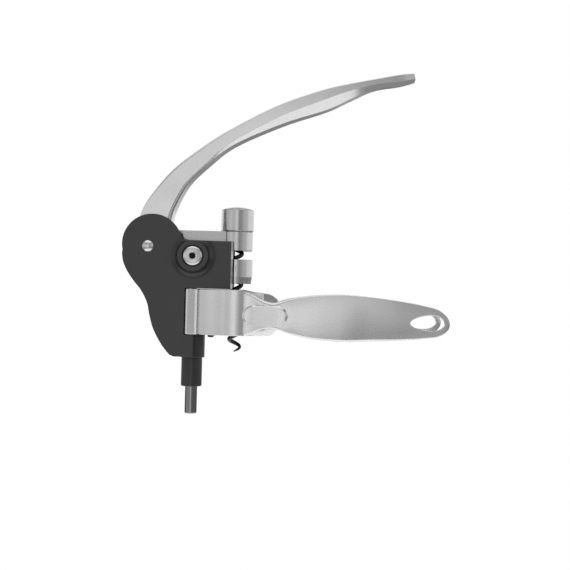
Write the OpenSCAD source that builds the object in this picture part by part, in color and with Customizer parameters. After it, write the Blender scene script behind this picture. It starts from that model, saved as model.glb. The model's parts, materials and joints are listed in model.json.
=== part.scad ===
// Horizontal lever corkscrew, millimetres.
// X runs toward the handle tips, Z up along the bottle axis, the near handle is on -Y.
// The origin is on the bottle axis at half the height of the clamp.

/* [Clamp] */
// Radius of the bottle neck that the clamp is closed on
neck_r = 14.4; // [13:0.1:15]
// Thickness of the rubber pads
pad_t = 3.0; // [2:0.1:3.4]
// Thickness of the metal jaws
jaw_t = 3.2; // [2.6:0.1:3.6]
// Height of the jaws along the bottle neck
jaw_h = 26.8; // [22:0.1:27.4]
// How far the rubber shows under the jaws
pad_drop = 1.2; // [0.4:0.1:1.6]
// X of the two handle hinges
hinge_x = -26.2; // [-26.6:0.1:-25.8]
// Distance of each handle hinge from the middle plane
hinge_y = 9.3; // [9.2:0.05:9.4]
// Radius of the hinge barrels
barrel_r = 4.65; // [4:0.05:4.8]
// Radius of the hinge pins
hinge_pin_r = 2.0; // [1.5:0.1:2.3]

/* [Handles] */
// X of the handle tips
handle_tip_x = 126.3; // [110:0.1:135]
// Thickness of the cast paddles
paddle_t = 3.4; // [2.8:0.1:4]
// Rise of the crown across a paddle
crown = 0.8; // [0.4:0.1:1.6]
// Rise of the oval panel at the waist
panel_depth = 0.5; // [0.2:0.1:0.6]
// Length of the straight part of the oval panel
panel_l = 14; // [8:0.5:16]
// Radius of the round ends of the oval panel
panel_r = 5.5; // [4:0.1:6]
// Length of the hanging hole
hang_l = 20.2; // [16:0.1:22]
// Radius of the widest part of the hanging hole
hang_r = 4.8; // [4.2:0.1:5.2]
// Width of the rim beyond the hanging hole
hang_rim = 3.9; // [3:0.1:6]

/* [Body] */
// Half of the width of the body
body_half_w = 13; // [12.8:0.1:14]
// Thickness of the side walls
side_wall = 3.2; // [2.4:0.1:3.2]
// Radius of the round lobe over the lever pivot
lobe_r = 17.6; // [17.2:0.1:18.2]
// Height of the top edge of the block
block_top = 41.8; // [40:0.1:42.4]
// X of the free edge of the block
block_right = -2.0; // [-3:0.1:-1.5]
// Thickness of the floor that the bottle rim meets
floor_t = 3.0; // [2.5:0.1:3.2]
// Gap between the jaws and the body above and under them
jaw_gap = 0.3; // [0.2:0.05:0.6]
// Height of the foot under the jaws
foot_h = 13.0; // [12.4:0.1:14]

/* [Lever drive] */
// X of the lever pivot
pivot_x = -51.8; // [-52.2:0.1:-51.4]
// Z of the lever pivot
pivot_z = 37.9; // [37.4:0.1:38.4]
// Radius of the pivot pin
pivot_r = 2.8; // [2:0.1:3]
// Tooth module of the gear sector and the rack
module_mm = 1.0; // [0.95:0.01:1.05]
// Teeth on a full circle of the gear sector
gear_teeth = 29; // [28:1:30]
// Half thickness of the gear sector
gear_half = 4.0; // [3:0.1:4.2]
// Tooth thinning of each of the two tooth rows
backlash = 0.14; // [0.1:0.01:0.2]
// Half width of the lever at the grip
grip_half = 11.5; // [10:0.1:13]

/* [Carriage] */
// Radius of the guide rod
rod_r = 3.6; // [3:0.1:3.8]
// X of the guide rod
rod_x = -25.3; // [-25.5:0.1:-25.1]
// Z of the lower end of the guide rod
rod_end = -61.3; // [-64:0.1:-58]
// X of the back roller and of its boss
roller_x = -25.0; // [-25.2:0.1:-24.8]
// Z of the back roller and of its boss
roller_z = 32.7; // [32.4:0.1:33]
// Radius of the roller axle
axle_r = 2.5; // [2:0.1:2.7]
// Radius of the worm head
head_r = 9.4; // [8.6:0.1:9.5]
// Z of the underside of the worm head
head_low = 36.6; // [36.5:0.1:37.4]
// Z of the top of the worm head and of its arm
head_top = 47.9; // [47.4:0.1:48.4]
// Radius of the knob
knob_r = 9.75; // [9:0.05:10.5]
// Height of the knob without its dome
knob_h = 12.9; // [10:0.1:15]
// Rise of the dome on the knob
knob_dome = 1.7; // [0.8:0.1:2.5]

/* [Worm and nut] */
// Outer radius of the worm
worm_r = 4.45; // [4:0.05:4.6]
// Radius of the worm wire
wire_r = 1.3; // [1:0.05:1.5]
// Rise of the worm in one turn
worm_pitch = 9.3; // [8:0.1:11]
// Z of the worm tip
worm_tip = -23.4; // [-24:0.1:-18]
// Radius of the nut block
nut_r = 9.6; // [9:0.1:9.7]
// Height of the nut block
nut_h = 14.4; // [12:0.1:14.6]

/* [Fits] */
// Running clearance of pins and shafts, on the radius
run_gap = 0.05; // [0.02:0.01:0.09]
// Clearance between pieces that pass each other
pass_gap = 0.3; // [0.25:0.05:0.4]

/* [Hidden] */
$fn = 64;
charcoal = [0.23, 0.23, 0.24];
silver = [0.78, 0.78, 0.79];
steel = [0.66, 0.67, 0.69];
black = [0.06, 0.06, 0.06];
bronze = [0.72, 0.52, 0.28];
jaw_top = jaw_h / 2;
floor_z = jaw_top + jaw_gap;
floor_top = floor_z + floor_t;
foot_z = -jaw_top - jaw_gap;
foot_low = foot_z - foot_h;
cavity_half = body_half_w - side_wall;
root_half = cavity_half - pass_gap;
lobe_x = pivot_x + 2.4;
lobe_z = pivot_z + 1.4;
notch_x = hinge_x - 2.7;
foot_x = rod_x + 1.7;
foot_floor = 1.6;
hinge_pin_depth = 7;
column_r = 7.5;
column_low = foot_low - 0.9;
sleeve_r = 6.2;
sleeve_l = 17.2;
spigot_r = 5.0;
spigot_h = foot_low + foot_floor - column_low;
gear_r = module_mm * gear_teeth / 2;
rack_line = pivot_x + gear_r;
addendum = module_mm;
dedendum = 1.25 * module_mm;
hub_r = 11.5;
bush_r = 4.2;
rack_half = 4.5;
roller_centre_gap = 6.5;
rack_back = roller_x - roller_centre_gap;
cavity_left = rack_back + 0.2;
tooth_room = 0.5;
roller_r = roller_x - run_gap - rack_back;
rack_low = -20.2;
foot_link_top = -14.2;
foot_link_half = 3.4;
web_low = 44.0;
flange_low = 41.4;
flange_in = rack_half + 0.2;
flange_out = 7.0;
arm_left = -35.9;
tenon_r = 2.2;
bore_r = worm_r + pass_gap;
shank_r = 2.5;
thread_r = 1.5;
slot_r = gear_r + addendum + 1;
floor_bore_gap = 0.6;
worm_seat = 34.9;
coil_r = worm_r - wire_r;
boss_rise = 3.5;
boss_r = 9.2;
boss_foot_r = 12.9;
flare_r = boss_foot_r - boss_r - 0.2;
cap_r = 6.0;
cap_t = 2.8;
cap_sink = 1.9;
cap_gap = 0.5;
cap_dish_r = 10;
cap_dish = 1.4;
cap_socket_r = 1.8;
cap_floor = 0.6;
spacer_r = 3.6;
roller_half = gear_half + 0.2;
// Overshoot of cutters that go right through
beyond = 100;

// Helpers for outlines and lofts
function arc(cx, cy, r, a0, a1, n) =
    [for (i = [0:n]) let (a = a0 + (a1 - a0) * i / n) [cx + r * cos(a), cy + r * sin(a)]];
function spline_at(p, k, t) =
    let (last = len(p) - 1, a = p[max(k - 1, 0)], b = p[k], c = p[min(k + 1, last)],
         d = p[min(k + 2, last)])
    0.5 * (2 * b + t * (c - a) + t * t * (2 * a - 5 * b + 4 * c - d)
           + t * t * t * (3 * b - a - 3 * c + d));
function spline(p, n) =
    [for (k = [0:len(p) - 2]) for (i = [0:n - 1]) spline_at(p, k, i / n), p[len(p) - 1]];

module side_extrude(y0, y1) {
    translate([0, y1, 0]) rotate([90, 0, 0]) linear_extrude(y1 - y0) children();
}

module side_rod(x, z, r, y0, y1) {
    translate([x, y1, z]) rotate([90, 0, 0]) cylinder(r = r, h = y1 - y0);
}

// Closed skin through rings with equal point counts
module loft(rings) {
    n = len(rings[0]);
    last = len(rings) - 1;
    points = [for (ring = rings) for (p = ring) p];
    sides = [for (k = [0:last - 1]) for (i = [0:n - 1]) let (j = (i + 1) % n)
             each [[k * n + i, k * n + j, (k + 1) * n + j],
                  [k * n + i, (k + 1) * n + j, (k + 1) * n + i]]];
    start = [[for (i = [n - 1:-1:0]) i]];
    end = [[for (i = [0:n - 1]) last * n + i]];
    polyhedron(points = points, faces = concat(sides, start, end), convexity = 6);
}

// Body

back_edge = [[-66.9, 33.4], [-66.0, 28.2], [-63.3, 22.5], [-59.5, 17.1], [-55.3, 12.0], [-51.5, 4.8],
             [-49.9, -2.4], [-47.4, -10.8], [-42.4, -19.8], [-37.6, foot_low + 1]];

// Angles where the lobe ends, and the hollow corner between lobe and block
lobe_front = 25;
lobe_back = 192;
corner_x = -26.9;
corner_r = 4.6;

function body_outline() = concat(
    arc(lobe_x, lobe_z, lobe_r, lobe_front, lobe_back, 40),
    spline(back_edge, 5),
    [[-35.2, foot_low], [foot_x, foot_low], [foot_x, foot_z], [notch_x, foot_z],
     [notch_x, floor_z], [block_right, floor_z], [block_right, block_top]],
    arc(corner_x, block_top + corner_r, corner_r, -90, -170, 8));

slot_floor_z = floor_top + 2.3;
slot_top_z = lobe_z + lobe_r + 5;
lever_slot = [[pivot_x - 18.2, 10], [pivot_x - 4.4, slot_floor_z - 0.8], [pivot_x, slot_floor_z],
              [cavity_left, slot_floor_z + 3], [cavity_left, slot_top_z], [pivot_x - 23, slot_top_z]];

// Round rise around the roller axle, hollowed like the foot of a column
module boss_flare() {
    translate([roller_x, -body_half_w, roller_z]) rotate([90, 0, 0]) rotate_extrude()
        polygon(concat([[0, -0.5], [boss_foot_r, -0.5]],
                       arc(boss_foot_r, flare_r, flare_r, -90, -180, 8),
                       [[boss_r, boss_rise], [0, boss_rise]]));
}

module shell_half() {
    difference() {
        union() {
            side_extrude(-body_half_w, 0) polygon(body_outline());
            translate([rod_x, 0, column_low]) cylinder(r = column_r, h = foot_z - column_low);
            side_rod(roller_x, roller_z, boss_r, -body_half_w - boss_rise, -body_half_w);
            intersection() {
                boss_flare();
                side_extrude(-beyond, 0) polygon(body_outline());
            }
        }
        // Everything beyond the middle plane
        translate([-beyond, 0, -beyond]) cube([2 * beyond, beyond, 2 * beyond]);
        // Room of the lever, its gear and the carriage in the upper half
        side_extrude(-cavity_half, 1) polygon(lever_slot);
        side_rod(pivot_x, pivot_z, slot_r, -cavity_half, 1);
        translate([cavity_left - 0.1, -cavity_half, floor_top]) cube([beyond, cavity_half + 1, beyond]);
        // Channel of the rack
        translate([rack_line - addendum - tooth_room, -rack_half - pass_gap, foot_low + foot_floor])
            cube([rack_back + pass_gap - rack_line + addendum + tooth_room, beyond, beyond]);
        // Slot of the link between the rack and the rod
        translate([rack_back - 1, -foot_link_half - pass_gap, foot_low + foot_floor])
            cube([rod_x - rack_back + 1, beyond, beyond]);
        translate([rod_x, 0, foot_low + foot_floor]) cylinder(r = rod_r + pass_gap, h = beyond);
        translate([rod_x, 0, column_low - 1]) cylinder(r = spigot_r, h = spigot_h + 1.5);
        // Barrel room between the block and the foot
        translate([hinge_x, -hinge_y, foot_z]) cylinder(r = barrel_r + pass_gap, h = floor_z - foot_z);
        translate([notch_x, -beyond, foot_z]) cube([beyond, beyond + 1, floor_z - foot_z]);
        // Hinge pin holes
        hinge_pin_shape();
        // Way of the worm through the floor
        translate([0, 0, floor_z - 1]) cylinder(r = bore_r + floor_bore_gap, h = floor_t + 2);
        // Pivot, axle and cap seats
        side_rod(pivot_x, pivot_z, pivot_r, -beyond, 1);
        side_rod(roller_x, roller_z, axle_r, -beyond, 1);
        side_rod(roller_x, roller_z, cap_r + cap_gap, -beyond, -body_half_w - boss_rise + cap_sink);
    }
}

screw_spots = [[-44.0, -7.5], [-50.6, 11.6]];
screw_head_r = 2.9;
screw_reach = 9;
screw_socket_r = 1.0;
screw_socket_h = 1.1;

module screw_shape(gap) {
    for (s = screw_spots) {
        side_rod(s[0], s[1], thread_r + gap, -screw_reach, body_half_w);
        translate([s[0], body_half_w, s[1]]) rotate([90, 0, 0])
            cylinder(r1 = screw_head_r + gap, r2 = thread_r + gap, h = screw_head_r - thread_r);
    }
}

module near_shell() {
    color(charcoal) difference() {
        shell_half();
        screw_shape(0);
    }
}

module far_shell() {
    color(charcoal) difference() {
        mirror([0, 1, 0]) shell_half();
        screw_shape(0);
    }
}

module shell_screws() {
    color(steel) difference() {
        screw_shape(0);
        for (s = screw_spots)
            side_rod(s[0], s[1], screw_socket_r, body_half_w - screw_socket_h, body_half_w + 1);
    }
}

module rod_sleeve() {
    color(charcoal) difference() {
        union() {
            translate([rod_x, 0, column_low - sleeve_l]) cylinder(r = sleeve_r, h = sleeve_l);
            translate([rod_x, 0, column_low - 0.5]) cylinder(r = spigot_r, h = spigot_h + 0.5);
        }
        translate([rod_x, 0, column_low - sleeve_l - 1]) cylinder(r = rod_r + run_gap, h = beyond);
    }
}

pin_head_r = 3.2;
pin_head_h = 1.2;

module pivot_pin() {
    dome_r = (pin_head_r * pin_head_r + pin_head_h * pin_head_h) / 2 / pin_head_h;
    color(steel) {
        side_rod(pivot_x, pivot_z, pivot_r, -body_half_w - 0.2, body_half_w + 0.2);
        for (side = [-1, 1])
            translate([pivot_x, side * body_half_w, pivot_z]) rotate([-side * 90, 0, 0]) rotate_extrude()
                polygon(concat([[0, 0]],
                               arc(0, pin_head_h - dome_r, dome_r, acos(pin_head_r / dome_r), 90, 8)));
    }
}

module roller_axle() {
    half = body_half_w + boss_rise - cap_sink;
    color(steel) side_rod(roller_x, roller_z, axle_r, -half, half);
}

module roller_spacers() {
    color(bronze) for (side = [-1, 1]) difference() {
        side_rod(roller_x, roller_z, spacer_r, side > 0 ? roller_half + 0.1 : -cavity_half,
                 side > 0 ? cavity_half : -roller_half - 0.1);
        side_rod(roller_x, roller_z, axle_r, -beyond, beyond);
    }
}

// Dished cap with a socket in its middle
module axle_cap() {
    seat = body_half_w + boss_rise - cap_sink;
    color(silver) translate([roller_x, -seat, roller_z]) rotate([90, 0, 0]) difference() {
        cylinder(r = cap_r, h = cap_t);
        translate([0, 0, cap_t + cap_dish_r - cap_dish]) sphere(r = cap_dish_r);
        translate([0, 0, cap_floor]) cylinder(r = cap_socket_r, h = cap_t);
    }
}

module near_axle_cap() {
    axle_cap();
}

module far_axle_cap() {
    mirror([0, 1, 0]) axle_cap();
}

module hinge_pin_shape() {
    translate([hinge_x, -hinge_y, foot_z - hinge_pin_depth])
        cylinder(r = hinge_pin_r, h = floor_top - foot_z + hinge_pin_depth);
}

module hinge_pin() {
    color(steel) hinge_pin_shape();
}

module near_hinge_pin() {
    hinge_pin();
}

module far_hinge_pin() {
    mirror([0, 1, 0]) hinge_pin();
}

// Nut

nut_low = floor_top + 0.3;
nut_band = 4.0;
nut_pin_r = 1.2;
nut_pin_in = 2.0;
nut_pin_cover = 1.4;
bush_wall = 1.6;
shoe_left = -15;
shoe_l = 9;
shoe_h = 11;
// Heights at which the worm leaves room for a pin on the right and on the left
nut_pin_z = [worm_seat - 1.5 * worm_pitch, worm_seat - worm_pitch];

module nut_pin_set() {
    for (side = [0, 1])
        translate([0, 0, nut_pin_z[side]]) rotate([0, side == 0 ? 90 : -90, 0])
            translate([0, 0, nut_pin_in]) cylinder(r = nut_pin_r, h = nut_r - nut_pin_cover - nut_pin_in);
}

module nut_block() {
    color(silver) difference() {
        union() {
            translate([0, 0, nut_low + nut_band]) cylinder(r = nut_r, h = nut_h - nut_band);
            translate([0, 0, nut_low]) cylinder(r1 = nut_r - 0.7, r2 = nut_r - 0.15, h = nut_band);
            translate([shoe_left, -cavity_half, floor_top]) cube([shoe_l, 2 * cavity_half, shoe_h]);
        }
        translate([0, 0, nut_low - 1]) cylinder(r = bore_r + bush_wall, h = nut_h + 2);
        nut_pin_set();
    }
}

module nut_bush() {
    color(black) difference() {
        translate([0, 0, nut_low]) cylinder(r = bore_r + bush_wall, h = nut_h);
        translate([0, 0, nut_low - 1]) cylinder(r = bore_r, h = nut_h + 2);
        nut_pin_set();
    }
}

module nut_pins() {
    color(steel) nut_pin_set();
}

module guide_roller() {
    color(steel) difference() {
        side_rod(roller_x, roller_z, roller_r, -roller_half, roller_half);
        side_rod(roller_x, roller_z, axle_r + run_gap, -beyond, beyond);
    }
}

// Lever

// Middle line of the lever, its height there and the share of it under the side crease
lever_line = [[-50.6, 41.0], [-47.9, 55.1], [-43.3, 65.6], [-33.9, 79.6], [-21.0, 91.4], [-4.7, 103.4],
              [24.2, 117.8], [49.85, 127.1], [64.85, 132.7], [79.3, 137.4], [94.7, 140.5], [103.4, 142.5]];
lever_height = [18.6, 18.2, 15.4, 12.2, 10.3, 8.8, 10.6, 11.3, 8.2, 4.9, 5.3, 4.4];
lever_crease = [0.12, 0.12, 0.12, 0.13, 0.15, 0.24, 0.37, 0.47, 0.46, 0.33, 0.24, 0.24];
// Share of the half width at which the flat underside starts
lever_under = [0.78, 0.78, 0.77, 0.75, 0.77, 0.75, 0.60, 0.46, 0.44, 0.31, 0.29, 0.31];
lever_half = [root_half, root_half, root_half, root_half - 0.3, root_half - 0.2, root_half + 0.1,
              grip_half - 0.4, grip_half, grip_half - 0.1, grip_half - 0.6, grip_half - 1.8, grip_half - 5];
steps_between = 4;
cheek_gap = 0.4;

function lever_ring(k, t) =
    let (c = spline_at(lever_line, k, t), ahead = spline_at(lever_line, k, t + 0.02),
         behind = spline_at(lever_line, k, t - 0.02), u = (ahead - behind) / norm(ahead - behind),
         h = spline_at(lever_height, k, t) / 2, w = spline_at(lever_half, k, t),
         s = spline_at(lever_crease, k, t), under = spline_at(lever_under, k, t),
         section = [[0, 1], [0.8, 1], [0.94, 0.96], [1, 0.8], [1, 2 * s - 1], [under, -1]],
         ring = concat(section, [for (i = [5:-1:1]) [-section[i][0], section[i][1]]]))
    [for (q = ring) [c[0] - u[1] * q[1] * h, q[0] * w, c[1] + u[0] * q[1] * h]];

module lever() {
    spans = len(lever_line) - 1;
    rings = [for (k = [0:spans - 1]) for (i = [0:steps_between - 1]) lever_ring(k, i / steps_between),
             lever_ring(spans - 1, 1)];
    color(silver) difference() {
        union() {
            loft(rings);
            side_rod(pivot_x, pivot_z, hub_r, -root_half, root_half);
        }
        side_rod(pivot_x, pivot_z, slot_r + cheek_gap, -gear_half, gear_half);
        side_rod(pivot_x, pivot_z, bush_r, -beyond, beyond);
        rivet_set();
    }
}

module lever_bush() {
    color(bronze) difference() {
        side_rod(pivot_x, pivot_z, bush_r, -root_half, root_half);
        side_rod(pivot_x, pivot_z, pivot_r + run_gap, -beyond, beyond);
    }
}

rivet_angles = [35, 75, 115];
rivet_ring = 8.2;
rivet_r = 1.2;

module rivet_set() {
    for (a = rivet_angles)
        side_rod(pivot_x + rivet_ring * cos(a), pivot_z + rivet_ring * sin(a), rivet_r,
                 -root_half, root_half);
}

// One tooth of the sector, centred on +X, with involute flanks
base_r = gear_r * cos(20);
function involute(r) = let (a = acos(base_r / r)) tan(a) * 180 / PI - a;
function flank(r) = 90 / gear_teeth - backlash / 2 / gear_r * 180 / PI + involute(gear_r) - involute(r);

module gear_tooth() {
    radii = [for (i = [0:5]) base_r + (gear_r + addendum - base_r) * i / 5];
    root = gear_r - dedendum;
    upper = [for (r = radii) r * [cos(flank(r)), sin(flank(r))]];
    polygon(concat([(root - 0.6) * [cos(flank(base_r)), -sin(flank(base_r))]],
                   [for (p = upper) [p[0], -p[1]]],
                   [for (i = [5:-1:0]) upper[i]],
                   [(root - 0.6) * [cos(flank(base_r)), sin(flank(base_r))]]));
}

first_tooth = -12;
last_tooth = 2;

module gear_sector() {
    step = 360 / gear_teeth;
    root = gear_r - dedendum;
    color(steel) difference() {
        side_extrude(-gear_half, gear_half) translate([pivot_x, pivot_z]) {
            circle(r = hub_r);
            polygon(concat([[0, 0]],
                           arc(0, 0, root, (first_tooth - 0.5) * step, (last_tooth + 0.5) * step, 60)));
            for (k = [first_tooth:last_tooth]) rotate(k * step) gear_tooth();
        }
        side_rod(pivot_x, pivot_z, bush_r, -beyond, beyond);
        rivet_set();
    }
}

module sector_rivets() {
    color(steel) rivet_set();
}

// Carriage

rack_teeth_down = 14;
rack_teeth_up = 1;

function rack_profile() =
    let (pitch = PI * module_mm, half = pitch / 4 - backlash / 2, slope = tan(20))
    concat(
        [[rack_back, rack_low], [rack_line + dedendum, rack_low]],
        [for (k = [-rack_teeth_down:rack_teeth_up]) let (z = pivot_z + (k + 0.5) * pitch)
            each [[rack_line + dedendum, z - half - dedendum * slope],
                  [rack_line - addendum, z - half + addendum * slope],
                  [rack_line - addendum, z + half - addendum * slope],
                  [rack_line + dedendum, z + half + dedendum * slope]]],
        [[rack_line + dedendum, web_low], [rack_back, web_low]]);

module rack_slide() {
    color(steel) difference() {
        union() {
            side_extrude(-rack_half, rack_half) polygon(rack_profile());
            translate([rack_back - 1, -foot_link_half, rack_low])
                cube([rod_x - rack_back + 1, 2 * foot_link_half, foot_link_top - rack_low]);
            translate([rod_x, 0, rack_low]) cylinder(r = foot_link_half, h = foot_link_top - rack_low);
        }
        translate([rod_x, 0, rack_low - 1]) cylinder(r = tenon_r, h = foot_link_top - rack_low + 2);
        arm_screw_set();
    }
}

module guide_rod() {
    color(steel) {
        translate([rod_x, 0, rod_end + 1]) cylinder(r = rod_r, h = rack_low - rod_end - 1);
        translate([rod_x, 0, rod_end]) cylinder(r1 = rod_r - 1, r2 = rod_r, h = 1);
        translate([rod_x, 0, rack_low - 1]) cylinder(r = tenon_r, h = foot_link_top - rack_low + 1);
    }
}

arm_screw_x = rack_back - 2.4;
arm_screw_y = 2.3;
arm_screw_r = 1.0;
arm_screw_head = 2.0;
arm_screw_l = 6;
arm_socket_r = 0.7;

module arm_screw_set() {
    for (side = [-1, 1]) translate([arm_screw_x, side * arm_screw_y, 0]) {
        translate([0, 0, web_low - arm_screw_l])
            cylinder(r = arm_screw_r, h = head_top - web_low + arm_screw_l);
        translate([0, 0, head_top - arm_screw_head + arm_screw_r])
            cylinder(r1 = arm_screw_r, r2 = arm_screw_head, h = arm_screw_head - arm_screw_r);
    }
}

tongue_l = 4.6;
tongue_half = 3.6;
tongue_z = [web_low, head_top - 1];

module carriage_arm() {
    color(silver) difference() {
        union() {
            translate([arm_left, -flange_out, web_low])
                cube([-arm_left, 2 * flange_out, head_top - web_low]);
            for (y = [-flange_out, flange_in]) translate([arm_left, y, flange_low])
                cube([-arm_left, flange_out - flange_in, web_low - flange_low + 0.5]);
        }
        difference() {
            cylinder(r = head_r, h = beyond);
            translate([-head_r - 1, -tongue_half, tongue_z[0]])
                cube([tongue_l + 1, 2 * tongue_half, tongue_z[1] - tongue_z[0]]);
        }
        arm_screw_set();
    }
}

module arm_screws() {
    color(steel) difference() {
        arm_screw_set();
        for (side = [-1, 1])
            translate([arm_screw_x, side * arm_screw_y, head_top - 0.7]) cylinder(r = arm_socket_r, h = 2);
    }
}

collar_r = 5.5;
washer_t = 1.0;
collar_t = 2.6;
ring_out = 8.4;
ring_in = 7.0;
ring_h = 3.0;
recess_r = worm_r + 0.5;
recess_h = 5.0;
seam = 0.3;

module worm_head() {
    color(silver) difference() {
        union() {
            translate([0, 0, head_low]) cylinder(r = head_r, h = head_top - head_low);
            translate([0, 0, head_top - 1]) cylinder(r = ring_out, h = ring_h + 1);
        }
        translate([0, 0, head_top]) cylinder(r = ring_in, h = beyond);
        translate([0, 0, head_low - 1]) cylinder(r = shank_r + run_gap, h = beyond);
        translate([0, 0, head_low - 1]) cylinder(r = recess_r, h = recess_h + 1);
        translate([-head_r - 1, -tongue_half, tongue_z[0]])
            cube([tongue_l + 1, 2 * tongue_half, tongue_z[1] - tongue_z[0]]);
    }
}

module thrust_washer() {
    color(bronze) difference() {
        translate([0, 0, head_top]) cylinder(r = ring_in - 0.2, h = washer_t);
        translate([0, 0, head_top - 1]) cylinder(r = shank_r + run_gap, h = beyond);
    }
}

module knob_cap() {
    low = head_top + seam;
    dome_r = (knob_r * knob_r + knob_dome * knob_dome) / 2 / knob_dome;
    color(silver) difference() {
        intersection() {
            translate([0, 0, low]) cylinder(r = knob_r, h = knob_h + knob_dome);
            translate([0, 0, low + knob_h + knob_dome - dome_r]) sphere(r = dome_r, $fn = 96);
        }
        translate([0, 0, low - 1]) cylinder(r = ring_out, h = head_top + ring_h - low + 1);
        translate([0, 0, low - 1]) cylinder(r = ring_in, h = ring_h + 3);
    }
}

// Worm

turn_steps = 20;
wire_sides = 8;
worm_top = head_low + recess_h - wire_r;
worm_point_l = 7;
shank_top = head_top + washer_t + collar_t + 0.6;

function wire_radius(z) = wire_r * min(1, 0.25 + (z - worm_tip) / worm_point_l);
function wire_ring(z) =
    let (a = (z - worm_seat) / worm_pitch * 360, rise = worm_pitch / 360 * 180 / PI,
         u = [-coil_r * sin(a), coil_r * cos(a), rise] / norm([coil_r, rise]),
         out = [cos(a), sin(a), 0], up = cross(out, u), r = wire_radius(z))
    [for (i = [0:wire_sides - 1]) let (b = 360 * i / wire_sides)
        coil_r * out + [0, 0, z] + r * (cos(b) * out + sin(b) * up)];

module worm() {
    count = floor((worm_top - worm_tip) / worm_pitch * turn_steps);
    color(black) {
        loft([for (i = [0:count]) wire_ring(worm_tip + (worm_top - worm_tip) * i / count)]);
        translate([0, 0, worm_top - 2]) cylinder(r = coil_r - 0.4, h = 2.2);
        translate([0, 0, worm_top]) cylinder(r = shank_r, h = shank_top - worm_top);
    }
}

module worm_collar() {
    color(steel) difference() {
        translate([0, 0, head_top + washer_t + run_gap]) cylinder(r = collar_r, h = collar_t);
        translate([0, 0, head_top]) cylinder(r = shank_r, h = beyond);
    }
}

// Handles

jaw_in = neck_r + pad_t;
jaw_out = jaw_in + jaw_t;
jaw_start = 197;
jaw_end = 343;
pad_start = jaw_start + 5;
pad_end = jaw_end - 5;
// How far the jaw's end stands out from its outer face
lip_out = 4.5;
// Angles between which the jaw's outer face is round
face_start = 246;
face_end = 322;

function polar(r, a) = [r * cos(a), r * sin(a)];

// Knuckle, blend, outer face and lip around the inner face
function jaw_plan() = concat(
    arc(0, 0, jaw_in, jaw_end, jaw_start, 30),
    [[hinge_x + 3.2, -hinge_y + 2.6], [hinge_x + 2, -hinge_y - barrel_r],
     [hinge_x + 4.2, -hinge_y - barrel_r], [hinge_x + 4.6, -hinge_y - barrel_r + 0.9]],
    spline([[hinge_x + 6.2, -hinge_y - barrel_r - 0.25], polar(jaw_out + 1.8, 228),
            polar(jaw_out + 0.6, 245)], 4),
    arc(0, 0, jaw_out, face_start, face_end, 18),
    [polar(jaw_out + 2, 335), polar(jaw_out + lip_out + 1, 343), polar(jaw_out + lip_out + 0.7, 349)]);

// Upper edge of the jaw from the middle of the clamp to the end of the lip
lip_edge = spline([[0, jaw_top], [5, jaw_top - 0.2], [10.7, jaw_top - 1.3], [15.2, jaw_top - 1.6],
                   [20.5, jaw_top - 2.4], [23.3, jaw_top - 3.9], [26.5, jaw_top - 6.6]], 4);

// Lower corner of the lip: where it leaves the lower edge, and how far it runs up
lip_foot = 21.5;
lip_rise = 4.7;

module lip_cut() {
    side_extrude(-beyond, beyond) {
        polygon(concat(lip_edge, [[beyond, jaw_top - 6.6], [beyond, beyond], [0, beyond]]));
        polygon([[lip_foot, -beyond], [lip_foot, -jaw_top], [lip_foot + lip_rise, lip_rise - jaw_top],
                 [beyond, lip_rise - jaw_top], [beyond, -beyond]]);
    }
}

// Slopes of the lip's outer face: run per millimetre of rise below and above its middle
lip_low_slope = 0.63;
lip_top_slope = 0.25;
lip_low_z = 3.8 - jaw_top;
lip_top_z = 4.5;

module lip_slope(at, turn, sections) {
    translate(at) rotate([0, 0, turn]) rotate([90, 0, 90]) translate([0, 0, -14]) linear_extrude(30)
        polygon(sections);
}

module lip_bevel_cut() {
    lip_slope([18, -11.6, lip_low_z], 34,
              [[-3 * lip_low_slope, 3], [8 * lip_low_slope, -8], [-4, -8], [-4, 3]]);
    lip_slope([20, -10.2, lip_top_z], 45,
              [[-8 * lip_top_slope, -8], [20 * lip_top_slope, 20], [-5, 20], [-5, -8]]);
}

paddle_top = [[2, 13.3], [6, 12.7], [11, 10.8], [16, 8.3], [20, 6.9], [24, 6.6], [32, 8.9],
              [45, 10.8], [56, 11.7], [66, 11.9], [79, 11.2], [92, 9.9], [105, 8.1], [115.5, 5.8],
              [121.5, 3.2]];
paddle_low = [[2, -13.3], [6, -12.8], [11, -11.3], [16, -9.3], [20, -8.6], [24, -8.8], [32, -11.4],
              [45, -14.0], [56, -14.9], [66, -15.2], [79, -14.6], [92, -14.0], [105, -13.0],
              [115.5, -11.5], [121.5, -9.6]];
paddle_front = [-20.4, -20.1, -20.2, -20.55, -20.9, -21.1, -21.5, -21.7, -21.8, -21.8, -21.6, -21.2, -20.5,
                -19.8, -19.4];
// Slope by which the face turns down toward the end
paddle_lean = [0, 0, 0, 0, 0, 0.01, 0.02, 0.025, 0.035, 0.05, 0.085, 0.10, 0.10, 0.085, 0.06];
end_mid = -3.0;
round_steps = 7;

// Height, depth, crown and lean of the paddle at one station
function paddle_station(x, top, low, front, lean, share) =
    let (mid = (top + low) / 2, half = (top - low) / 2,
         rise = crown * min(1, max(0, (x - 20) / 14)) * share, turn = lean * half * share,
         back = front + rise + turn + paddle_t * (0.7 + 0.3 * share),
         across = [for (i = [0:8]) -1 + i / 4],
         outer = [for (v = across)
                  [x, front + rise * v * v + turn * (1 - v) + 0.5 * pow(abs(v), 6), mid + half * v]],
         inner = [for (v = across) [x, back - 0.6 * pow(abs(v), 6), mid + half * v]])
    concat(outer, [for (i = [8:-1:0]) inner[i]]);

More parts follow.
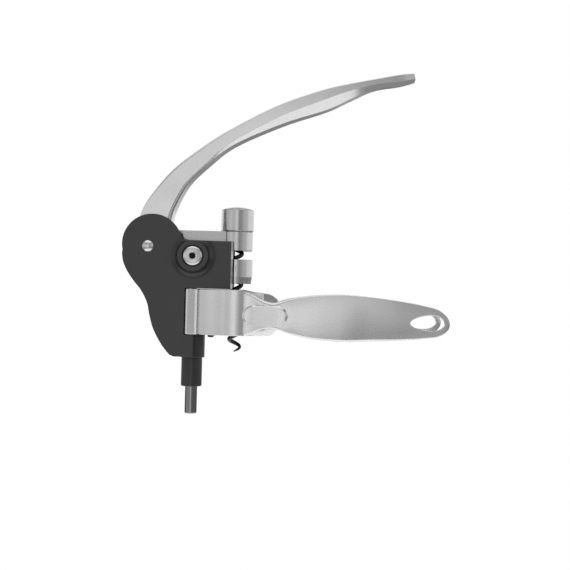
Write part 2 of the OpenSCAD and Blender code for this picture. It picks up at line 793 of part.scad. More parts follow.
function paddle_rings() =
    let (last = len(paddle_top) - 1, x0 = paddle_top[last][0], t0 = paddle_top[last][1],
         b0 = paddle_low[last][1], f0 = paddle_front[last], l = handle_tip_x - x0)
    concat(
        [for (k = [0:last - 1]) for (i = [0:2]) let (t = i / 3, p = spline_at(paddle_top, k, t))
            paddle_station(p[0], p[1], spline_at(paddle_low, k, t)[1], spline_at(paddle_front, k, t),
                           spline_at(paddle_lean, k, t), 1)],
        [for (i = [0:round_steps - 1]) let (a = 90 * i / round_steps, w = cos(a))
            paddle_station(x0 + l * sin(a), end_mid + (t0 - end_mid) * w, end_mid + (b0 - end_mid) * w,
                           f0 + 0.6 * (1 - w), paddle_lean[last], w)],
        [paddle_station(handle_tip_x, end_mid + 0.6, end_mid - 0.6, f0 + 0.7, 0, 0.1)]);

hang_z = end_mid;
// Share by which the hole's blunt end is wider than an ellipse and its other end narrower
egg_share = 0.2;
egg_points = 48;

module egg_hole() {
    half = hang_l / 2;
    side_extrude(-beyond, 0) polygon([for (i = [0:egg_points - 1]) let (a = 360 * i / egg_points)
        [handle_tip_x - hang_rim - half + half * cos(a),
         hang_z + hang_r * 0.98 * sin(a) * (1 + egg_share * cos(a))]]);
}

panel_x = 11.2;
panel_z = -1.25;

// Oval that stands a little out of the paddle's own surface
module panel_rise() {
    intersection() {
        translate([0, -panel_depth, 0]) loft(paddle_rings());
        side_extrude(-beyond, -jaw_in) translate([panel_x, panel_z]) {
            circle(r = panel_r);
            translate([panel_l, 0]) circle(r = panel_r);
            translate([0, -panel_r]) square([panel_l, 2 * panel_r]);
        }
    }
}

module handle() {
    color(silver) difference() {
        union() {
            translate([hinge_x, -hinge_y, -jaw_top]) cylinder(r = barrel_r, h = jaw_h);
            difference() {
                translate([0, 0, -jaw_top]) linear_extrude(jaw_h) polygon(jaw_plan());
                lip_cut();
                lip_bevel_cut();
            }
            loft(paddle_rings());
            panel_rise();
        }
        translate([hinge_x, -hinge_y, -jaw_h]) cylinder(r = hinge_pin_r + run_gap, h = 2 * jaw_h);
        translate([0, 0, -jaw_h]) cylinder(r = jaw_in, h = 2 * jaw_h);
        egg_hole();
    }
}

module near_handle() {
    handle();
}

module far_handle() {
    mirror([0, 1, 0]) handle();
}

module jaw_pad() {
    color(black) difference() {
        translate([0, 0, -jaw_top - pad_drop]) linear_extrude(jaw_h + pad_drop)
            polygon(concat(arc(0, 0, neck_r, pad_start, pad_end, 32),
                           arc(0, 0, jaw_in, pad_end, pad_start, 32)));
        lip_cut();
    }
}

module near_jaw_pad() {
    jaw_pad();
}

module far_jaw_pad() {
    mirror([0, 1, 0]) jaw_pad();
}

near_shell();
far_shell();
shell_screws();
rod_sleeve();
pivot_pin();
roller_axle();
roller_spacers();
near_axle_cap();
far_axle_cap();
near_hinge_pin();
far_hinge_pin();
nut_block();
nut_bush();
nut_pins();
guide_roller();
lever();
lever_bush();
gear_sector();
sector_rivets();
rack_slide();
guide_rod();
carriage_arm();
arm_screws();
worm_head();
thrust_washer();
knob_cap();
worm();
worm_collar();
near_handle();
near_jaw_pad();
far_handle();
far_jaw_pad();
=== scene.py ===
"""Horizontal lever corkscrew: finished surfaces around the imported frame.

Lengths are millimetres unless a name or comment says otherwise. X runs along the handles, Z is up, and Y is
across the part, with the near half at negative Y.
"""

import json
import math

import bmesh
import bpy
from mathutils import Matrix, Vector


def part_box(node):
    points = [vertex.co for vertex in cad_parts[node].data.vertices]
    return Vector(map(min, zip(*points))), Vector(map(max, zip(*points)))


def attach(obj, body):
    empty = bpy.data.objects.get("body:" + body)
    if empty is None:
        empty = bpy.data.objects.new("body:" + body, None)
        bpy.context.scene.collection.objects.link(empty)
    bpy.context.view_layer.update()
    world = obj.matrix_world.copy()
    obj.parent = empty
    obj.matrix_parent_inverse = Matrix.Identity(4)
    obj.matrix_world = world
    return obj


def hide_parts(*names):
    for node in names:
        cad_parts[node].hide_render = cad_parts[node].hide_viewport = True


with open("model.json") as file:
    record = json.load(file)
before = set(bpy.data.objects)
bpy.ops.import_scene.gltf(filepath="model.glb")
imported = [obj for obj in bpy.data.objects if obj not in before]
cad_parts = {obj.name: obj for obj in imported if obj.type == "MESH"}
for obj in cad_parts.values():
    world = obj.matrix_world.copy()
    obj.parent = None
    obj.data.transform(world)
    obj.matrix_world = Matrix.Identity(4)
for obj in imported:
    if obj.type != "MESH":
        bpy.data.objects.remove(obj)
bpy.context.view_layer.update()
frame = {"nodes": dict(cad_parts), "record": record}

MM = 0.001
SHARP_ANGLE = math.radians(38)
# Distances in metres below which points become one: in new meshes, CAD meshes and finished ones
MERGE, CAD_MERGE, WELD = 1e-7, 1e-6, 2e-6


# Places and sizes from the frame

def span(node):
    """Lowest and highest corner of a CAD node."""
    low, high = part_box(node)
    return Vector(low) / MM, Vector(high) / MM


def middle(node):
    low, high = span(node)
    return (low + high) / 2


def radius(node, axis=0):
    low, high = span(node)
    return (high[axis] - low[axis]) / 2


# Outlines in a plane, as lists of (u, v)

def arc(cu, cv, r, start, end, steps):
    turn = (end - start) / steps
    angles = [math.radians(start + turn * i) for i in range(steps + 1)]
    return [(cu + r * math.cos(a), cv + r * math.sin(a)) for a in angles]


def spline_at(points, k, t):
    """Point of a Catmull-Rom curve between the points k and k + 1."""
    last = len(points) - 1
    a, b = points[max(k - 1, 0)], points[k]
    c, d = points[min(k + 1, last)], points[min(k + 2, last)]

    def blend(i):
        return 0.5 * (2 * b[i] + t * (c[i] - a[i]) + t * t * (2 * a[i] - 5 * b[i] + 4 * c[i] - d[i])
                      + t ** 3 * (3 * b[i] - a[i] - 3 * c[i] + d[i]))

    return tuple(blend(i) for i in range(len(b)))


def spline(points, steps):
    curve = [spline_at(points, k, i / steps) for k in range(len(points) - 1) for i in range(steps)]
    return curve + [tuple(points[-1])]


def value_at(table, x):
    """Smooth value of a table of (x, value) pairs."""
    for k in range(len(table) - 1):
        if x <= table[k + 1][0] or k == len(table) - 2:
            t = (x - table[k][0]) / (table[k + 1][0] - table[k][0])
            return spline_at(table, k, min(max(t, 0.0), 1.0))[1]


FLAT_CORNER = math.radians(176)
REACH_SHARE = 0.49


def corner_arc(p, before, after, r, steps):
    """Arc that rounds the corner at p, which lies between the ways before and after."""
    angle = before.angle(after)
    back, ahead = before.normalized(), after.normalized()
    if angle > FLAT_CORNER:
        reach = min(0.1, 0.4 * min(before.length, after.length))
        a, b = p + back * reach, p + ahead * reach
        return [tuple(a.lerp(b, k / steps)) for k in range(steps + 1)]
    reach = min(r / math.tan(angle / 2), before.length * REACH_SHARE, after.length * REACH_SHARE)
    r = reach * math.tan(angle / 2)
    a, b = p + back * reach, p + ahead * reach
    centre = p + (back + ahead).normalized() * (r / math.sin(angle / 2))
    ways = [(a - centre).lerp(b - centre, k / steps).normalized() for k in range(steps + 1)]
    return [tuple(centre + way * r) for way in ways]


def filleted(points, radii, steps=4, closed=True):
    """The outline with each corner turned into an arc of its radius. An open one keeps its ends."""
    last = len(points) - 1
    out = []
    for i, r in enumerate(radii):
        p = Vector(points[i])
        if r <= 0 or (not closed and i in (0, last)):
            out.append(tuple(p))
            continue
        before = Vector(points[i - 1]) - p
        after = Vector(points[(i + 1) % len(points)]) - p
        out += corner_arc(p, before, after, r, steps)
    return out


def inset(points, distance):
    """The closed outline moved inward, which is to the left of its direction."""
    out = []
    for i, point in enumerate(points):
        p = Vector(point)
        before = (p - Vector(points[i - 1])).normalized()
        after = (Vector(points[(i + 1) % len(points)]) - p).normalized()
        left_a, left_b = Vector((-before.y, before.x)), Vector((-after.y, after.x))
        side = (left_a + left_b).normalized()
        out.append(tuple(p + side * distance / max(side.dot(left_a), 0.5)))
    return out


def counter_clockwise(points):
    area = sum(p[0] * q[1] - q[0] * p[1] for p, q in zip(points, points[1:] + points[:1]))
    return points if area > 0 else points[::-1]


# Meshes

def make_object(name, verts, faces):
    mesh = bpy.data.meshes.new(name)
    mesh.from_pydata([Vector(v) * MM for v in verts], [], faces)
    obj = bpy.data.objects.new(name, mesh)
    bpy.context.scene.collection.objects.link(obj)
    bm = bmesh.new()
    bm.from_mesh(mesh)
    bmesh.ops.remove_doubles(bm, verts=bm.verts, dist=MERGE)
    bmesh.ops.recalc_face_normals(bm, faces=bm.faces)
    if bm.calc_volume(signed=True) < 0:
        bmesh.ops.reverse_faces(bm, faces=bm.faces)
    bm.to_mesh(mesh)
    bm.free()
    return obj


def skin(name, rings):
    """Mesh through rings with equal point counts, with flat ends."""
    n, last = len(rings[0]), len(rings) - 1
    verts = [p for ring in rings for p in ring]
    faces = []
    for k in range(last):
        a, b = k * n, (k + 1) * n
        for i in range(n):
            j = (i + 1) % n
            faces.append((a + i, a + j, b + j, b + i))
    faces.append(tuple(range(n))[::-1])
    faces.append(tuple(last * n + i for i in range(n)))
    return make_object(name, verts, faces)


def lathe(name, profile, at, axis="z", closed=False, segments=96, start=0.0):
    """Solid turned from a profile of (radius, height) about an axis through that place."""
    at = Vector(at)
    verts, faces = [], []
    count = len(profile)
    for s in range(segments):
        a = start + 2 * math.pi * s / segments
        for r, h in profile:
            u, v = r * math.cos(a), r * math.sin(a)
            point = {"z": (u, v, h), "-y": (u, -h, v)}[axis]
            verts.append(at + Vector(point))
    steps = count if closed else count - 1
    for s in range(segments):
        a, b = s * count, ((s + 1) % segments) * count
        for i in range(steps):
            j = (i + 1) % count
            faces.append((a + i, b + i, b + j, a + j))
    obj = make_object(name, verts, faces)
    bm = bmesh.new()
    bm.from_mesh(obj.data)
    bmesh.ops.dissolve_degenerate(bm, edges=bm.edges, dist=MERGE)
    bm.to_mesh(obj.data)
    bm.free()
    return obj


def turned(name, profile, at, axis="z", edge=0.3, closed=False, segments=96):
    """Turned solid whose corners are rounded. An open profile starts and ends on the axis."""
    radii = [edge] * len(profile)
    rounded = filleted(profile, radii, 3, closed)
    return lathe(name, rounded, at, axis, closed, segments)


RIM_STEPS = 4


def plate(name, outline, low, high, edge_low, edge_high, axis="y"):
    """Flat body with that outline between two heights of an axis, with rounded rims."""
    outline = counter_clockwise(list(outline))
    quarter = [math.radians(90 * i / RIM_STEPS) for i in range(RIM_STEPS + 1)]
    rings = [(inset(outline, edge_low * (1 - math.sin(a))), low + edge_low * (1 - math.cos(a)))
             for a in quarter]
    rings += [(inset(outline, edge_high * (1 - math.cos(a))), high - edge_high * (1 - math.sin(a)))
              for a in quarter]
    turn = {"y": lambda u, v, h: (u, h, v), "z": lambda u, v, h: (u, v, h)}[axis]
    return skin(name, [[turn(u, v, h) for u, v in ring] for ring, h in rings])


def block(name, low, high, edge):
    """Box with rounded edges."""
    (x0, y0, z0), (x1, y1, z1) = low, high
    outline = filleted([(x0, y0), (x1, y0), (x1, y1), (x0, y1)], [edge] * 4)
    return plate(name, outline, z0, z1, edge, edge, "z")


def bar(name, x, z, r, y0, y1, segments=96):
    """Round bar across the part."""
    return lathe(name, [(0, -y1), (r, -y1), (r, -y0), (0, -y0)], (x, 0, z), "-y", segments=segments)


def post(name, x, y, r, z0, z1, segments=96):
    """Upright round bar, turned a little so that its points miss those of other pieces."""
    return lathe(name, [(0, z0), (r, z0), (r, z1), (0, z1)], (x, y, 0), segments=segments, start=0.013)


def settle(obj):
    """Applies the modifiers of an object."""
    graph = bpy.context.evaluated_depsgraph_get()
    mesh = bpy.data.meshes.new_from_object(obj.evaluated_get(graph), depsgraph=graph)
    obj.modifiers.clear()
    obj.data = mesh


def boolean(obj, others, operation):
    """Applies the operation with each of the other objects, and removes them."""
    for other in others:
        step = obj.modifiers.new("step", "BOOLEAN")
        step.operation = operation
        step.solver = "EXACT"
        step.object = other
        settle(obj)
        bpy.data.objects.remove(other)
    return obj


def cut(obj, *others):
    return boolean(obj, others, "DIFFERENCE")


def join(obj, *others):
    return boolean(obj, others, "UNION")


def smooth(obj):
    """Smooth shading that keeps flat faces flat and corners sharp."""
    bm = bmesh.new()
    bm.from_mesh(obj.data)
    bmesh.ops.remove_doubles(bm, verts=bm.verts, dist=WELD)
    bmesh.ops.dissolve_degenerate(bm, edges=bm.edges, dist=WELD)
    for face in bm.faces:
        face.smooth = True
    for edge in bm.edges:
        edge.smooth = not (edge.is_manifold and edge.calc_face_angle(0) > SHARP_ANGLE)
    bm.to_mesh(obj.data)
    bm.free()
    weights = obj.modifiers.new("weights", "WEIGHTED_NORMAL")
    weights.keep_sharp = True
    settle(obj)
    return obj


def mirrored(obj, name):
    """Copy of an object on the other side of the middle plane."""
    twin = obj.copy()
    twin.name = name
    twin.data = obj.data.copy()
    twin.data.name = name
    twin.data.transform(Matrix.Scale(-1, 4, (0, 1, 0)))
    twin.data.flip_normals()
    bpy.context.scene.collection.objects.link(twin)
    return twin


# Materials

def shader(name, base, roughness, metallic=0.0):
    material = bpy.data.materials.new(name)
    material.use_nodes = True
    node = material.node_tree.nodes["Principled BSDF"]
    node.inputs["Base Color"].default_value = (*base, 1)
    node.inputs["Roughness"].default_value = roughness
    node.inputs["Metallic"].default_value = metallic
    return material, node


def noise(tree, scale, stretch=(1, 1, 1)):
    """Noise in the object's own metres, stretched along the axes."""
    nodes, links = tree.nodes, tree.links
    coords = nodes.new("ShaderNodeTexCoord")
    mapping = nodes.new("ShaderNodeMapping")
    mapping.inputs["Scale"].default_value = stretch
    texture = nodes.new("ShaderNodeTexNoise")
    texture.inputs["Scale"].default_value = scale
    texture.inputs["Detail"].default_value = 3.0
    links.new(coords.outputs["Object"], mapping.inputs["Vector"])
    links.new(mapping.outputs["Vector"], texture.inputs["Vector"])
    return texture.outputs["Fac"]


def between(tree, factor, low, high):
    """Maps a noise, which lies near 0.35 to 0.65, to the range low to high."""
    node = tree.nodes.new("ShaderNodeMapRange")
    node.inputs["From Min"].default_value = 0.35
    node.inputs["From Max"].default_value = 0.65
    node.inputs["To Min"].default_value = low
    node.inputs["To Max"].default_value = high
    tree.links.new(factor, node.inputs["Value"])
    return node.outputs["Result"]


def tinted(tree, factor, base, spread):
    """Colour that wanders around base by that share."""
    mix = tree.nodes.new("ShaderNodeMix")
    mix.data_type = "RGBA"
    mix.inputs["A"].default_value = (*(c * (1 - spread) for c in base), 1)
    mix.inputs["B"].default_value = (*(c * (1 + spread) for c in base), 1)
    tree.links.new(between(tree, factor, 0.0, 1.0), mix.inputs["Factor"])
    return mix.outputs["Result"]


def bump(tree, node, height, strength, distance):
    relief = tree.nodes.new("ShaderNodeBump")
    relief.inputs["Strength"].default_value = strength
    relief.inputs["Distance"].default_value = distance * MM
    tree.links.new(height, relief.inputs["Height"])
    tree.links.new(relief.outputs["Normal"], node.inputs["Normal"])


WIDE_NOISE = 60


def finish_of(name, base, roughness, metallic, spread, grain, relief, stretch=(1, 1, 1), ior=1.5):
    """Material whose colour, roughness and relief wander with a grain size in millimetres."""
    material, node = shader(name, base, roughness[0], metallic)
    node.inputs["IOR"].default_value = ior
    tree = material.node_tree
    wide = noise(tree, WIDE_NOISE)
    fine = noise(tree, 1000 / grain, stretch)
    tree.links.new(tinted(tree, wide, base, spread), node.inputs["Base Color"])
    tree.links.new(between(tree, fine, *roughness), node.inputs["Roughness"])
    bump(tree, node, fine, 1.0, relief)
    return material


# Name, colour, roughness, metallic, colour spread, grain and relief in mm
SATIN = finish_of("satin_casting", (0.84, 0.84, 0.845), (0.24, 0.31), 1.0, 0.02, 0.35, 0.0016)
TURNED = finish_of("turned_aluminium", (0.66, 0.66, 0.665), (0.20, 0.27), 1.0, 0.02, 0.5, 0.0012,
                   stretch=(0.05, 0.05, 2))
# Darker bare metal: the carriage arm's own finish, also used as painted shade on the handle lip's upper
# slope and as a painted highlight on the body's right-edge bevel
MACHINED_AND_PAINTED_LIGHT = finish_of("machined_arm_and_painted_light", (0.53, 0.53, 0.535), (0.26, 0.34), 1.0, 0.03, 0.4, 0.0015)
STEEL = finish_of("turned_steel", (0.60, 0.60, 0.61), (0.24, 0.36), 1.0, 0.04, 0.4, 0.0015)
CHROME = finish_of("bright_steel", (0.36, 0.36, 0.365), (0.06, 0.11), 1.0, 0.01, 1.5, 0.0004)
CHARCOAL = finish_of("charcoal_casting", (0.023, 0.023, 0.024), (0.27, 0.34), 0.0, 0.05, 0.30, 0.005,
                     ior=1.55)
COATED = finish_of("worm_coating", (0.011, 0.011, 0.012), (0.28, 0.40), 0.0, 0.1, 0.4, 0.006)
BRONZE = finish_of("bearing_bronze", (0.62, 0.42, 0.20), (0.28, 0.40), 1.0, 0.05, 0.4, 0.002)
RUBBER = finish_of("pad_rubber", (0.018, 0.018, 0.018), (0.70, 0.85), 0.0, 0.1, 0.5, 0.02)
NYLON = finish_of("nut_nylon", (0.02, 0.02, 0.022), (0.42, 0.52), 0.0, 0.05, 0.6, 0.004)
# Near-black paint used as painted shade, in the axle cap's socket and in the nut's groove
PAINTED_SHADE = finish_of("painted_shade", (0.006, 0.006, 0.006), (0.6, 0.7), 0.0, 0.1, 0.5, 0.002)

SLOT_MATERIAL = {
    "charcoal_casting": CHARCOAL, "satin_casting": SATIN, "turned_steel": STEEL, "bright_steel": CHROME,
    "worm_coating": COATED, "bearing_bronze": BRONZE, "pad_rubber": RUBBER, "nut_nylon": NYLON,
}
BODY_OF = {node: body for body, nodes in frame["record"]["behaviour"]["bodies"].items() for node in nodes}
SLOT_OF = {row["node"]: row["material_slot"] for row in frame["record"]["subparts"]}


def place(obj, node, material=None):
    """The piece stands for a CAD node, rides on its body and takes its slot."""
    if not obj.data.materials:
        obj.data.materials.append(None)
    obj.data.materials[0] = material or SLOT_MATERIAL[SLOT_OF[node]]
    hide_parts(node)
    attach(obj, BODY_OF[node])
    return obj


def two_looks(obj, main, other, test):
    """Gives the faces for which test(centre, normal) holds the other material."""
    obj.data.materials.append(main)
    obj.data.materials.append(other)
    for face in obj.data.polygons:
        face.material_index = 1 if test(face.center / MM, face.normal) else 0
    return obj


# Shared dimensions

PIVOT = middle("pivot_pin")
ROLLER = middle("guide_roller")
ROD = middle("guide_rod")
HINGE_X = middle("near_hinge_pin").x
HINGE_Y = middle("far_hinge_pin").y
JAW_TOP = 13.4
FLOOR_Z = JAW_TOP + 0.3
FLOOR_TOP = FLOOR_Z + 3.0
FOOT_Z = -JAW_TOP - 0.3
FOOT_LOW = FOOT_Z - 13.0
FOOT_X = ROD.x + 1.7
NOTCH_X = HINGE_X - 2.7


# Body halves

BODY_HALF_W = 13.0
CAVITY_HALF = BODY_HALF_W - 3.2
PARTING = 0.08
BLOCK_TOP, BLOCK_RIGHT = 41.8, -1.6
# Width and depth of the bevel along the block's right edge, whose faces take a painted highlight
HIGHLIGHT_BEVEL, HIGHLIGHT_BEVEL_DEPTH = 1.1, 2.5
LOBE_X, LOBE_Z, LOBE_R = PIVOT.x + 2.4, PIVOT.z + 1.4, 17.6
CORNER_X, CORNER_R = -26.9, 4.6
COLUMN_R, COLUMN_LOW = 7.5, FOOT_LOW - 0.9
FAR_TRIM = 3.3
BACK_LOW = (-37.6, FOOT_LOW + 1)
BACK_EDGE = [(-66.9, 33.4), (-66.0, 28.2), (-63.3, 22.5), (-59.5, 17.1), (-55.3, 12.0), (-51.5, 4.8),
             (-49.9, -2.4), (-47.4, -10.8), (-42.4, -19.8), BACK_LOW]
# Corners from the foot around the notch to the block's top, each with its radius
CORNERS = [((-35.2, FOOT_LOW), 2), ((FOOT_X, FOOT_LOW), 0.8), ((FOOT_X, FOOT_Z), 0.7),
           ((NOTCH_X, FOOT_Z), 0.5), ((NOTCH_X, FLOOR_Z), 0.5), ((BLOCK_RIGHT, FLOOR_Z), 0.8),
           ((BLOCK_RIGHT, BLOCK_TOP), 1.0)]
LOBE_ARC = (25, 192, 56)
CORNER_ARC = (-94, -170, 9)


def body_outline(trim=0.0):
    """Outline of a half, whose lobe and corner may lie a little further back."""
    corner_x = CORNER_X - trim
    lobe = [(x - trim * max(0.0, x - LOBE_X) / LOBE_R, z) for x, z in arc(LOBE_X, LOBE_Z, LOBE_R, *LOBE_ARC)]
    points = [BACK_LOW] + [point for point, _ in CORNERS] + [(corner_x, BLOCK_TOP)]
    radii = [0] + [r for _, r in CORNERS] + [0]
    corner = arc(corner_x, BLOCK_TOP + CORNER_R, CORNER_R, *CORNER_ARC)
    return lobe + spline(BACK_EDGE, 6)[:-1] + filleted(points, radii, 4, closed=False) + corner


BOSS_R, BOSS_FOOT_R, BOSS_RISE = 9.2, 13.9, 3.5
BOSS_FLARE = 4.6
RECESS_R, RECESS_Y = 6.3, 1.5


def boss():
    """Collar around the roller axle with a flared foot, cut off where the body ends."""
    flare = arc(BOSS_FOOT_R, BOSS_FLARE, BOSS_FLARE, -92, -165, 12)
    rim = [(BOSS_R + 0.05, 3.2), (BOSS_R - 0.1, BOSS_RISE), (RECESS_R, BOSS_RISE), (RECESS_R, RECESS_Y),
           (0, RECESS_Y)]
    profile = [(0, -1), (BOSS_FOOT_R, -1)] + flare + filleted(rim, [0, 0.5, 0.35, 0.3, 0], 4, closed=False)
    collar = lathe("boss", profile, (ROLLER.x, -BODY_HALF_W, ROLLER.z), "-y", segments=128)
    keep = plate("keep", body_outline(), -30, 0, 0.2, 0.2)
    return boolean(collar, [keep], "INTERSECT")


def column():
    """Near half of the round column under the foot."""
    profile = [(0, COLUMN_LOW), (COLUMN_R, COLUMN_LOW), (COLUMN_R, FOOT_Z), (0, FOOT_Z)]
    whole = turned("column", profile, (ROD.x, 0, 0), edge=0.5)
    return cut(whole, block("half_plane", (-60, -PARTING, -40), (10, 40, 0), 0.01))


def corner_bevel(trim):
    """Room over the wide bevel in the corner between lobe and block."""
    low, high = BODY_HALF_W - 4.5, BODY_HALF_W + 1
    profile = [(0, high), (CORNER_R + 2.2, high), (CORNER_R + 2.0, BODY_HALF_W), (CORNER_R, low), (0, low)]
    return lathe("corner_bevel", profile, (CORNER_X - trim, 0, BLOCK_TOP + CORNER_R), "-y")


def edge_bevel():
    """Room over the bevel along the block's right edge, whose faces later take a painted highlight."""
    bevel = [(BLOCK_RIGHT - HIGHLIGHT_BEVEL, -BODY_HALF_W - 0.1), (BLOCK_RIGHT + 0.1, -BODY_HALF_W - 0.1),
             (BLOCK_RIGHT + 0.1, -BODY_HALF_W + HIGHLIGHT_BEVEL_DEPTH)]
    return skin("edge_bevel", [[(x, y, z) for x, y in bevel] for z in (FLOOR_Z - 1, BLOCK_TOP + 1)])


def body_rooms():
    """Rooms in the near half for lever, gear, arm, rack, rod, hinge barrel and worm."""
    beyond = 1
    lever_floor, channel_low, open_top = FLOOR_TOP + 2.3, FOOT_LOW + 1.6, 40
    rack_back = ROLLER.x - 6.5
    cavity_left = rack_back + 0.2
    rack_front = span("rack_slide")[0].x - 0.5
    lever_slot = [(PIVOT.x - 18.2, 10), (PIVOT.x - 4.4, lever_floor - 0.8), (PIVOT.x, lever_floor),
                  (cavity_left, lever_floor + 3), (cavity_left, 62), (PIVOT.x - 23, 62)]
    return [plate("lever_slot", lever_slot, -CAVITY_HALF, beyond, 0.01, 0.01),
            bar("gear_room", PIVOT.x, PIVOT.z, 16.5, -CAVITY_HALF, beyond, 128),
            block("arm_room", (cavity_left - 0.1, -CAVITY_HALF, FLOOR_TOP), (9, beyond, 77), 0.01),
            block("rack_room", (rack_front, -4.8, channel_low), (rack_back + 0.3, beyond, open_top), 0.01),
            block("link_room", (rack_back - 1, -3.7, channel_low), (ROD.x, beyond, open_top), 0.01),
            post("rod_room", ROD.x, 0, 3.9, channel_low, open_top),
            post("spigot_room", ROD.x, 0, 5.02, COLUMN_LOW - 1, FOOT_LOW + 3),
            post("barrel_room", HINGE_X, -HINGE_Y, 4.95, FOOT_Z - 0.03, FLOOR_Z + 0.03),
            post("worm_room", 0, 0, 5.35, FLOOR_Z - 1, FLOOR_TOP + 1)]


# Faces of the right-edge bevel, which get a painted highlight in the lighter metal
def on_highlight_bevel(centre, normal):
    return centre.x > BLOCK_RIGHT - HIGHLIGHT_BEVEL - 0.2 and normal.x > 0.7 and normal.y < -0.3


def body_half(name, trim=0.0):
    """Near half of the body casting."""
    half = plate(name, body_outline(trim), -BODY_HALF_W, -PARTING, 0.5, 0.15)
    join(half, column(), boss())
    cut(half, corner_bevel(trim), edge_bevel(), *body_rooms())
    # The right-edge bevel takes the lighter metal as a painted highlight
    return two_looks(smooth(half), CHARCOAL, MACHINED_AND_PAINTED_LIGHT, on_highlight_bevel)


def make_body():
    near = body_half("body_near_half")
    pattern = body_half("pattern", FAR_TRIM)
    far = mirrored(pattern, "body_far_half")
    bpy.data.objects.remove(pattern)
    place(near, "near_shell")
    place(far, "far_shell")


SLEEVE_BORE = 3.65


def make_sleeve():
    low, _ = span("rod_sleeve")
    r = radius("rod_sleeve")
    profile = [(SLEEVE_BORE, low.z), (r, low.z), (r, COLUMN_LOW), (SLEEVE_BORE, COLUMN_LOW)]
    sleeve = turned("rod_guide_sleeve", profile, (ROD.x, 0, 0), edge=0.45, closed=True)
    place(smooth(sleeve), "rod_sleeve")


def make_pivot_pin():
    """Pin with a low dome on each end."""
    low, high = span("pivot_pin")
    head_r = radius("pivot_pin")
    head_h = high.y - BODY_HALF_W
    dome_r = (head_r ** 2 + head_h ** 2) / 2 / head_h
    rim = math.degrees(math.acos(head_r / dome_r))
    dome = arc(0, high.y - dome_r, dome_r, rim, 90, 10)
    low_dome = [(u, -v) for u, v in dome[::-1]]
    profile = [(0, low.y)] + low_dome[1:] + dome[:-1] + [(0, high.y)]
    pin = lathe("lever_pivot_pin", profile, (PIVOT.x, 0, PIVOT.z), "-y")
    place(smooth(pin), "pivot_pin", SATIN)


SOCKET_R, SOCKET_FLOOR = 1.8, 0.7


def axle_cap(name):
    """Dished cap over the axle's end, with painted shade in its shallow socket."""
    low, high = span("near_axle_cap")
    r, t = radius("near_axle_cap") - 0.4, high.y - low.y
    corners = [(r - 0.5, 0), (r, 0.4), (r, t - 0.9), (r - 1.0, t - 0.35), (SOCKET_R + 0.6, t - 0.02),
               (SOCKET_R, t - 0.2), (SOCKET_R, SOCKET_FLOOR), (0, SOCKET_FLOOR)]
    outside = filleted(corners, [0, 0.2, 0.6, 1.2, 0.3, 0.1, 0, 0], 5, closed=False)
    cap = smooth(lathe(name, [(0, 0)] + outside, (ROLLER.x, high.y, ROLLER.z), "-y"))

    # Socket faces, which take the painted shade
    def in_socket(centre, _):
        out = Vector((centre.x - ROLLER.x, centre.z - ROLLER.z)).length
        return out < SOCKET_R + 0.05 and centre.y < high.y - 0.5

    return two_looks(cap, SATIN, PAINTED_SHADE, in_socket)


def make_caps():
    near = axle_cap("axle_cap_near")
    far = mirrored(near, "axle_cap_far")
    place(near, "near_axle_cap", SATIN)
    place(far, "far_axle_cap", SATIN)


# Lever, as rows from its root to its tip

LEVER_LINE = [(-50.6, 41.0), (-47.9, 55.1), (-43.3, 65.6), (-33.9, 79.6), (-21.0, 91.4), (-4.7, 103.4),
              (24.2, 117.8), (49.85, 127.1), (64.85, 132.7), (79.3, 137.4), (94.7, 140.5), (103.4, 142.5)]
LEVER_HEIGHT = [18.6, 18.2, 15.4, 12.2, 10.3, 8.8, 10.6, 11.3, 8.2, 4.9, 5.3, 4.4]
LEVER_CREASE = [0.12, 0.12, 0.12, 0.13, 0.15, 0.24, 0.37, 0.47, 0.46, 0.33, 0.24, 0.24]
LEVER_HALF = [9.5, 9.5, 9.5, 9.2, 9.3, 9.6, 11.1, 11.5, 11.4, 10.9, 9.7, 6.5]
LEVER_UNDER = [7.4, 7.4, 7.3, 6.9, 7.2, 7.2, 6.6, 5.2, 4.9, 3.4, 2.8, 2.0]
LEVER_GROOVE = [0.5, 0.5, 0.5, 0.45, 0.35, 0.15, 0, 0, 0, 0, 0, 0]
LEVER_EDGE = [0.3, 0.3, 0.6, 1.3, 1.4, 1.0, 0.8, 0.8, 0.8, 0.6, 0.5, 0.4]
LEVER_ROWS = [(x, z, *row) for (x, z), *row in
              zip(LEVER_LINE, LEVER_HEIGHT, LEVER_CREASE, LEVER_HALF, LEVER_UNDER, LEVER_GROOVE, LEVER_EDGE)]
LEVER_STEPS = 6
HUB_R, HUB_HALF = 11.5, 9.4
GEAR_SLOT_R, GEAR_SLOT_HALF = 16.9, 4
BUSH_BORE = 4.2


def lever_section(half_h, half_w, share, under, groove, edge):
    """Right half of the lever's section, from the middle of its top to the middle of its underside."""
    crease = -half_h + 2 * half_h * share
    corners = [(0, half_h), (half_w - 0.06, half_h - 0.02), (half_w, crease),
               (half_w - groove, crease - 0.04 - 0.9 * groove),
               (half_w - 0.35 * groove, crease - 0.08 - 1.9 * groove), (under, -half_h), (0, -half_h)]
    radii = [0, edge, 0, 0.15, 0.3, min(0.8, 0.25 * half_h), 0]
    return filleted(corners, radii, 4, closed=False)


def lever_ring(k, t):
    x, z, h, share, w, under, groove, edge = spline_at(LEVER_ROWS, k, t)
    ahead, behind = spline_at(LEVER_ROWS, k, t + 0.02), spline_at(LEVER_ROWS, k, t - 0.02)
    way = Vector((ahead[0] - behind[0], ahead[1] - behind[1])).normalized()
    half = lever_section(h / 2, w, share, under, max(groove, 0.0), edge)
    ring = half + [(-u, v) for u, v in half[-2:0:-1]]
    return [(x - way.y * v, u, z + way.x * v) for u, v in ring]


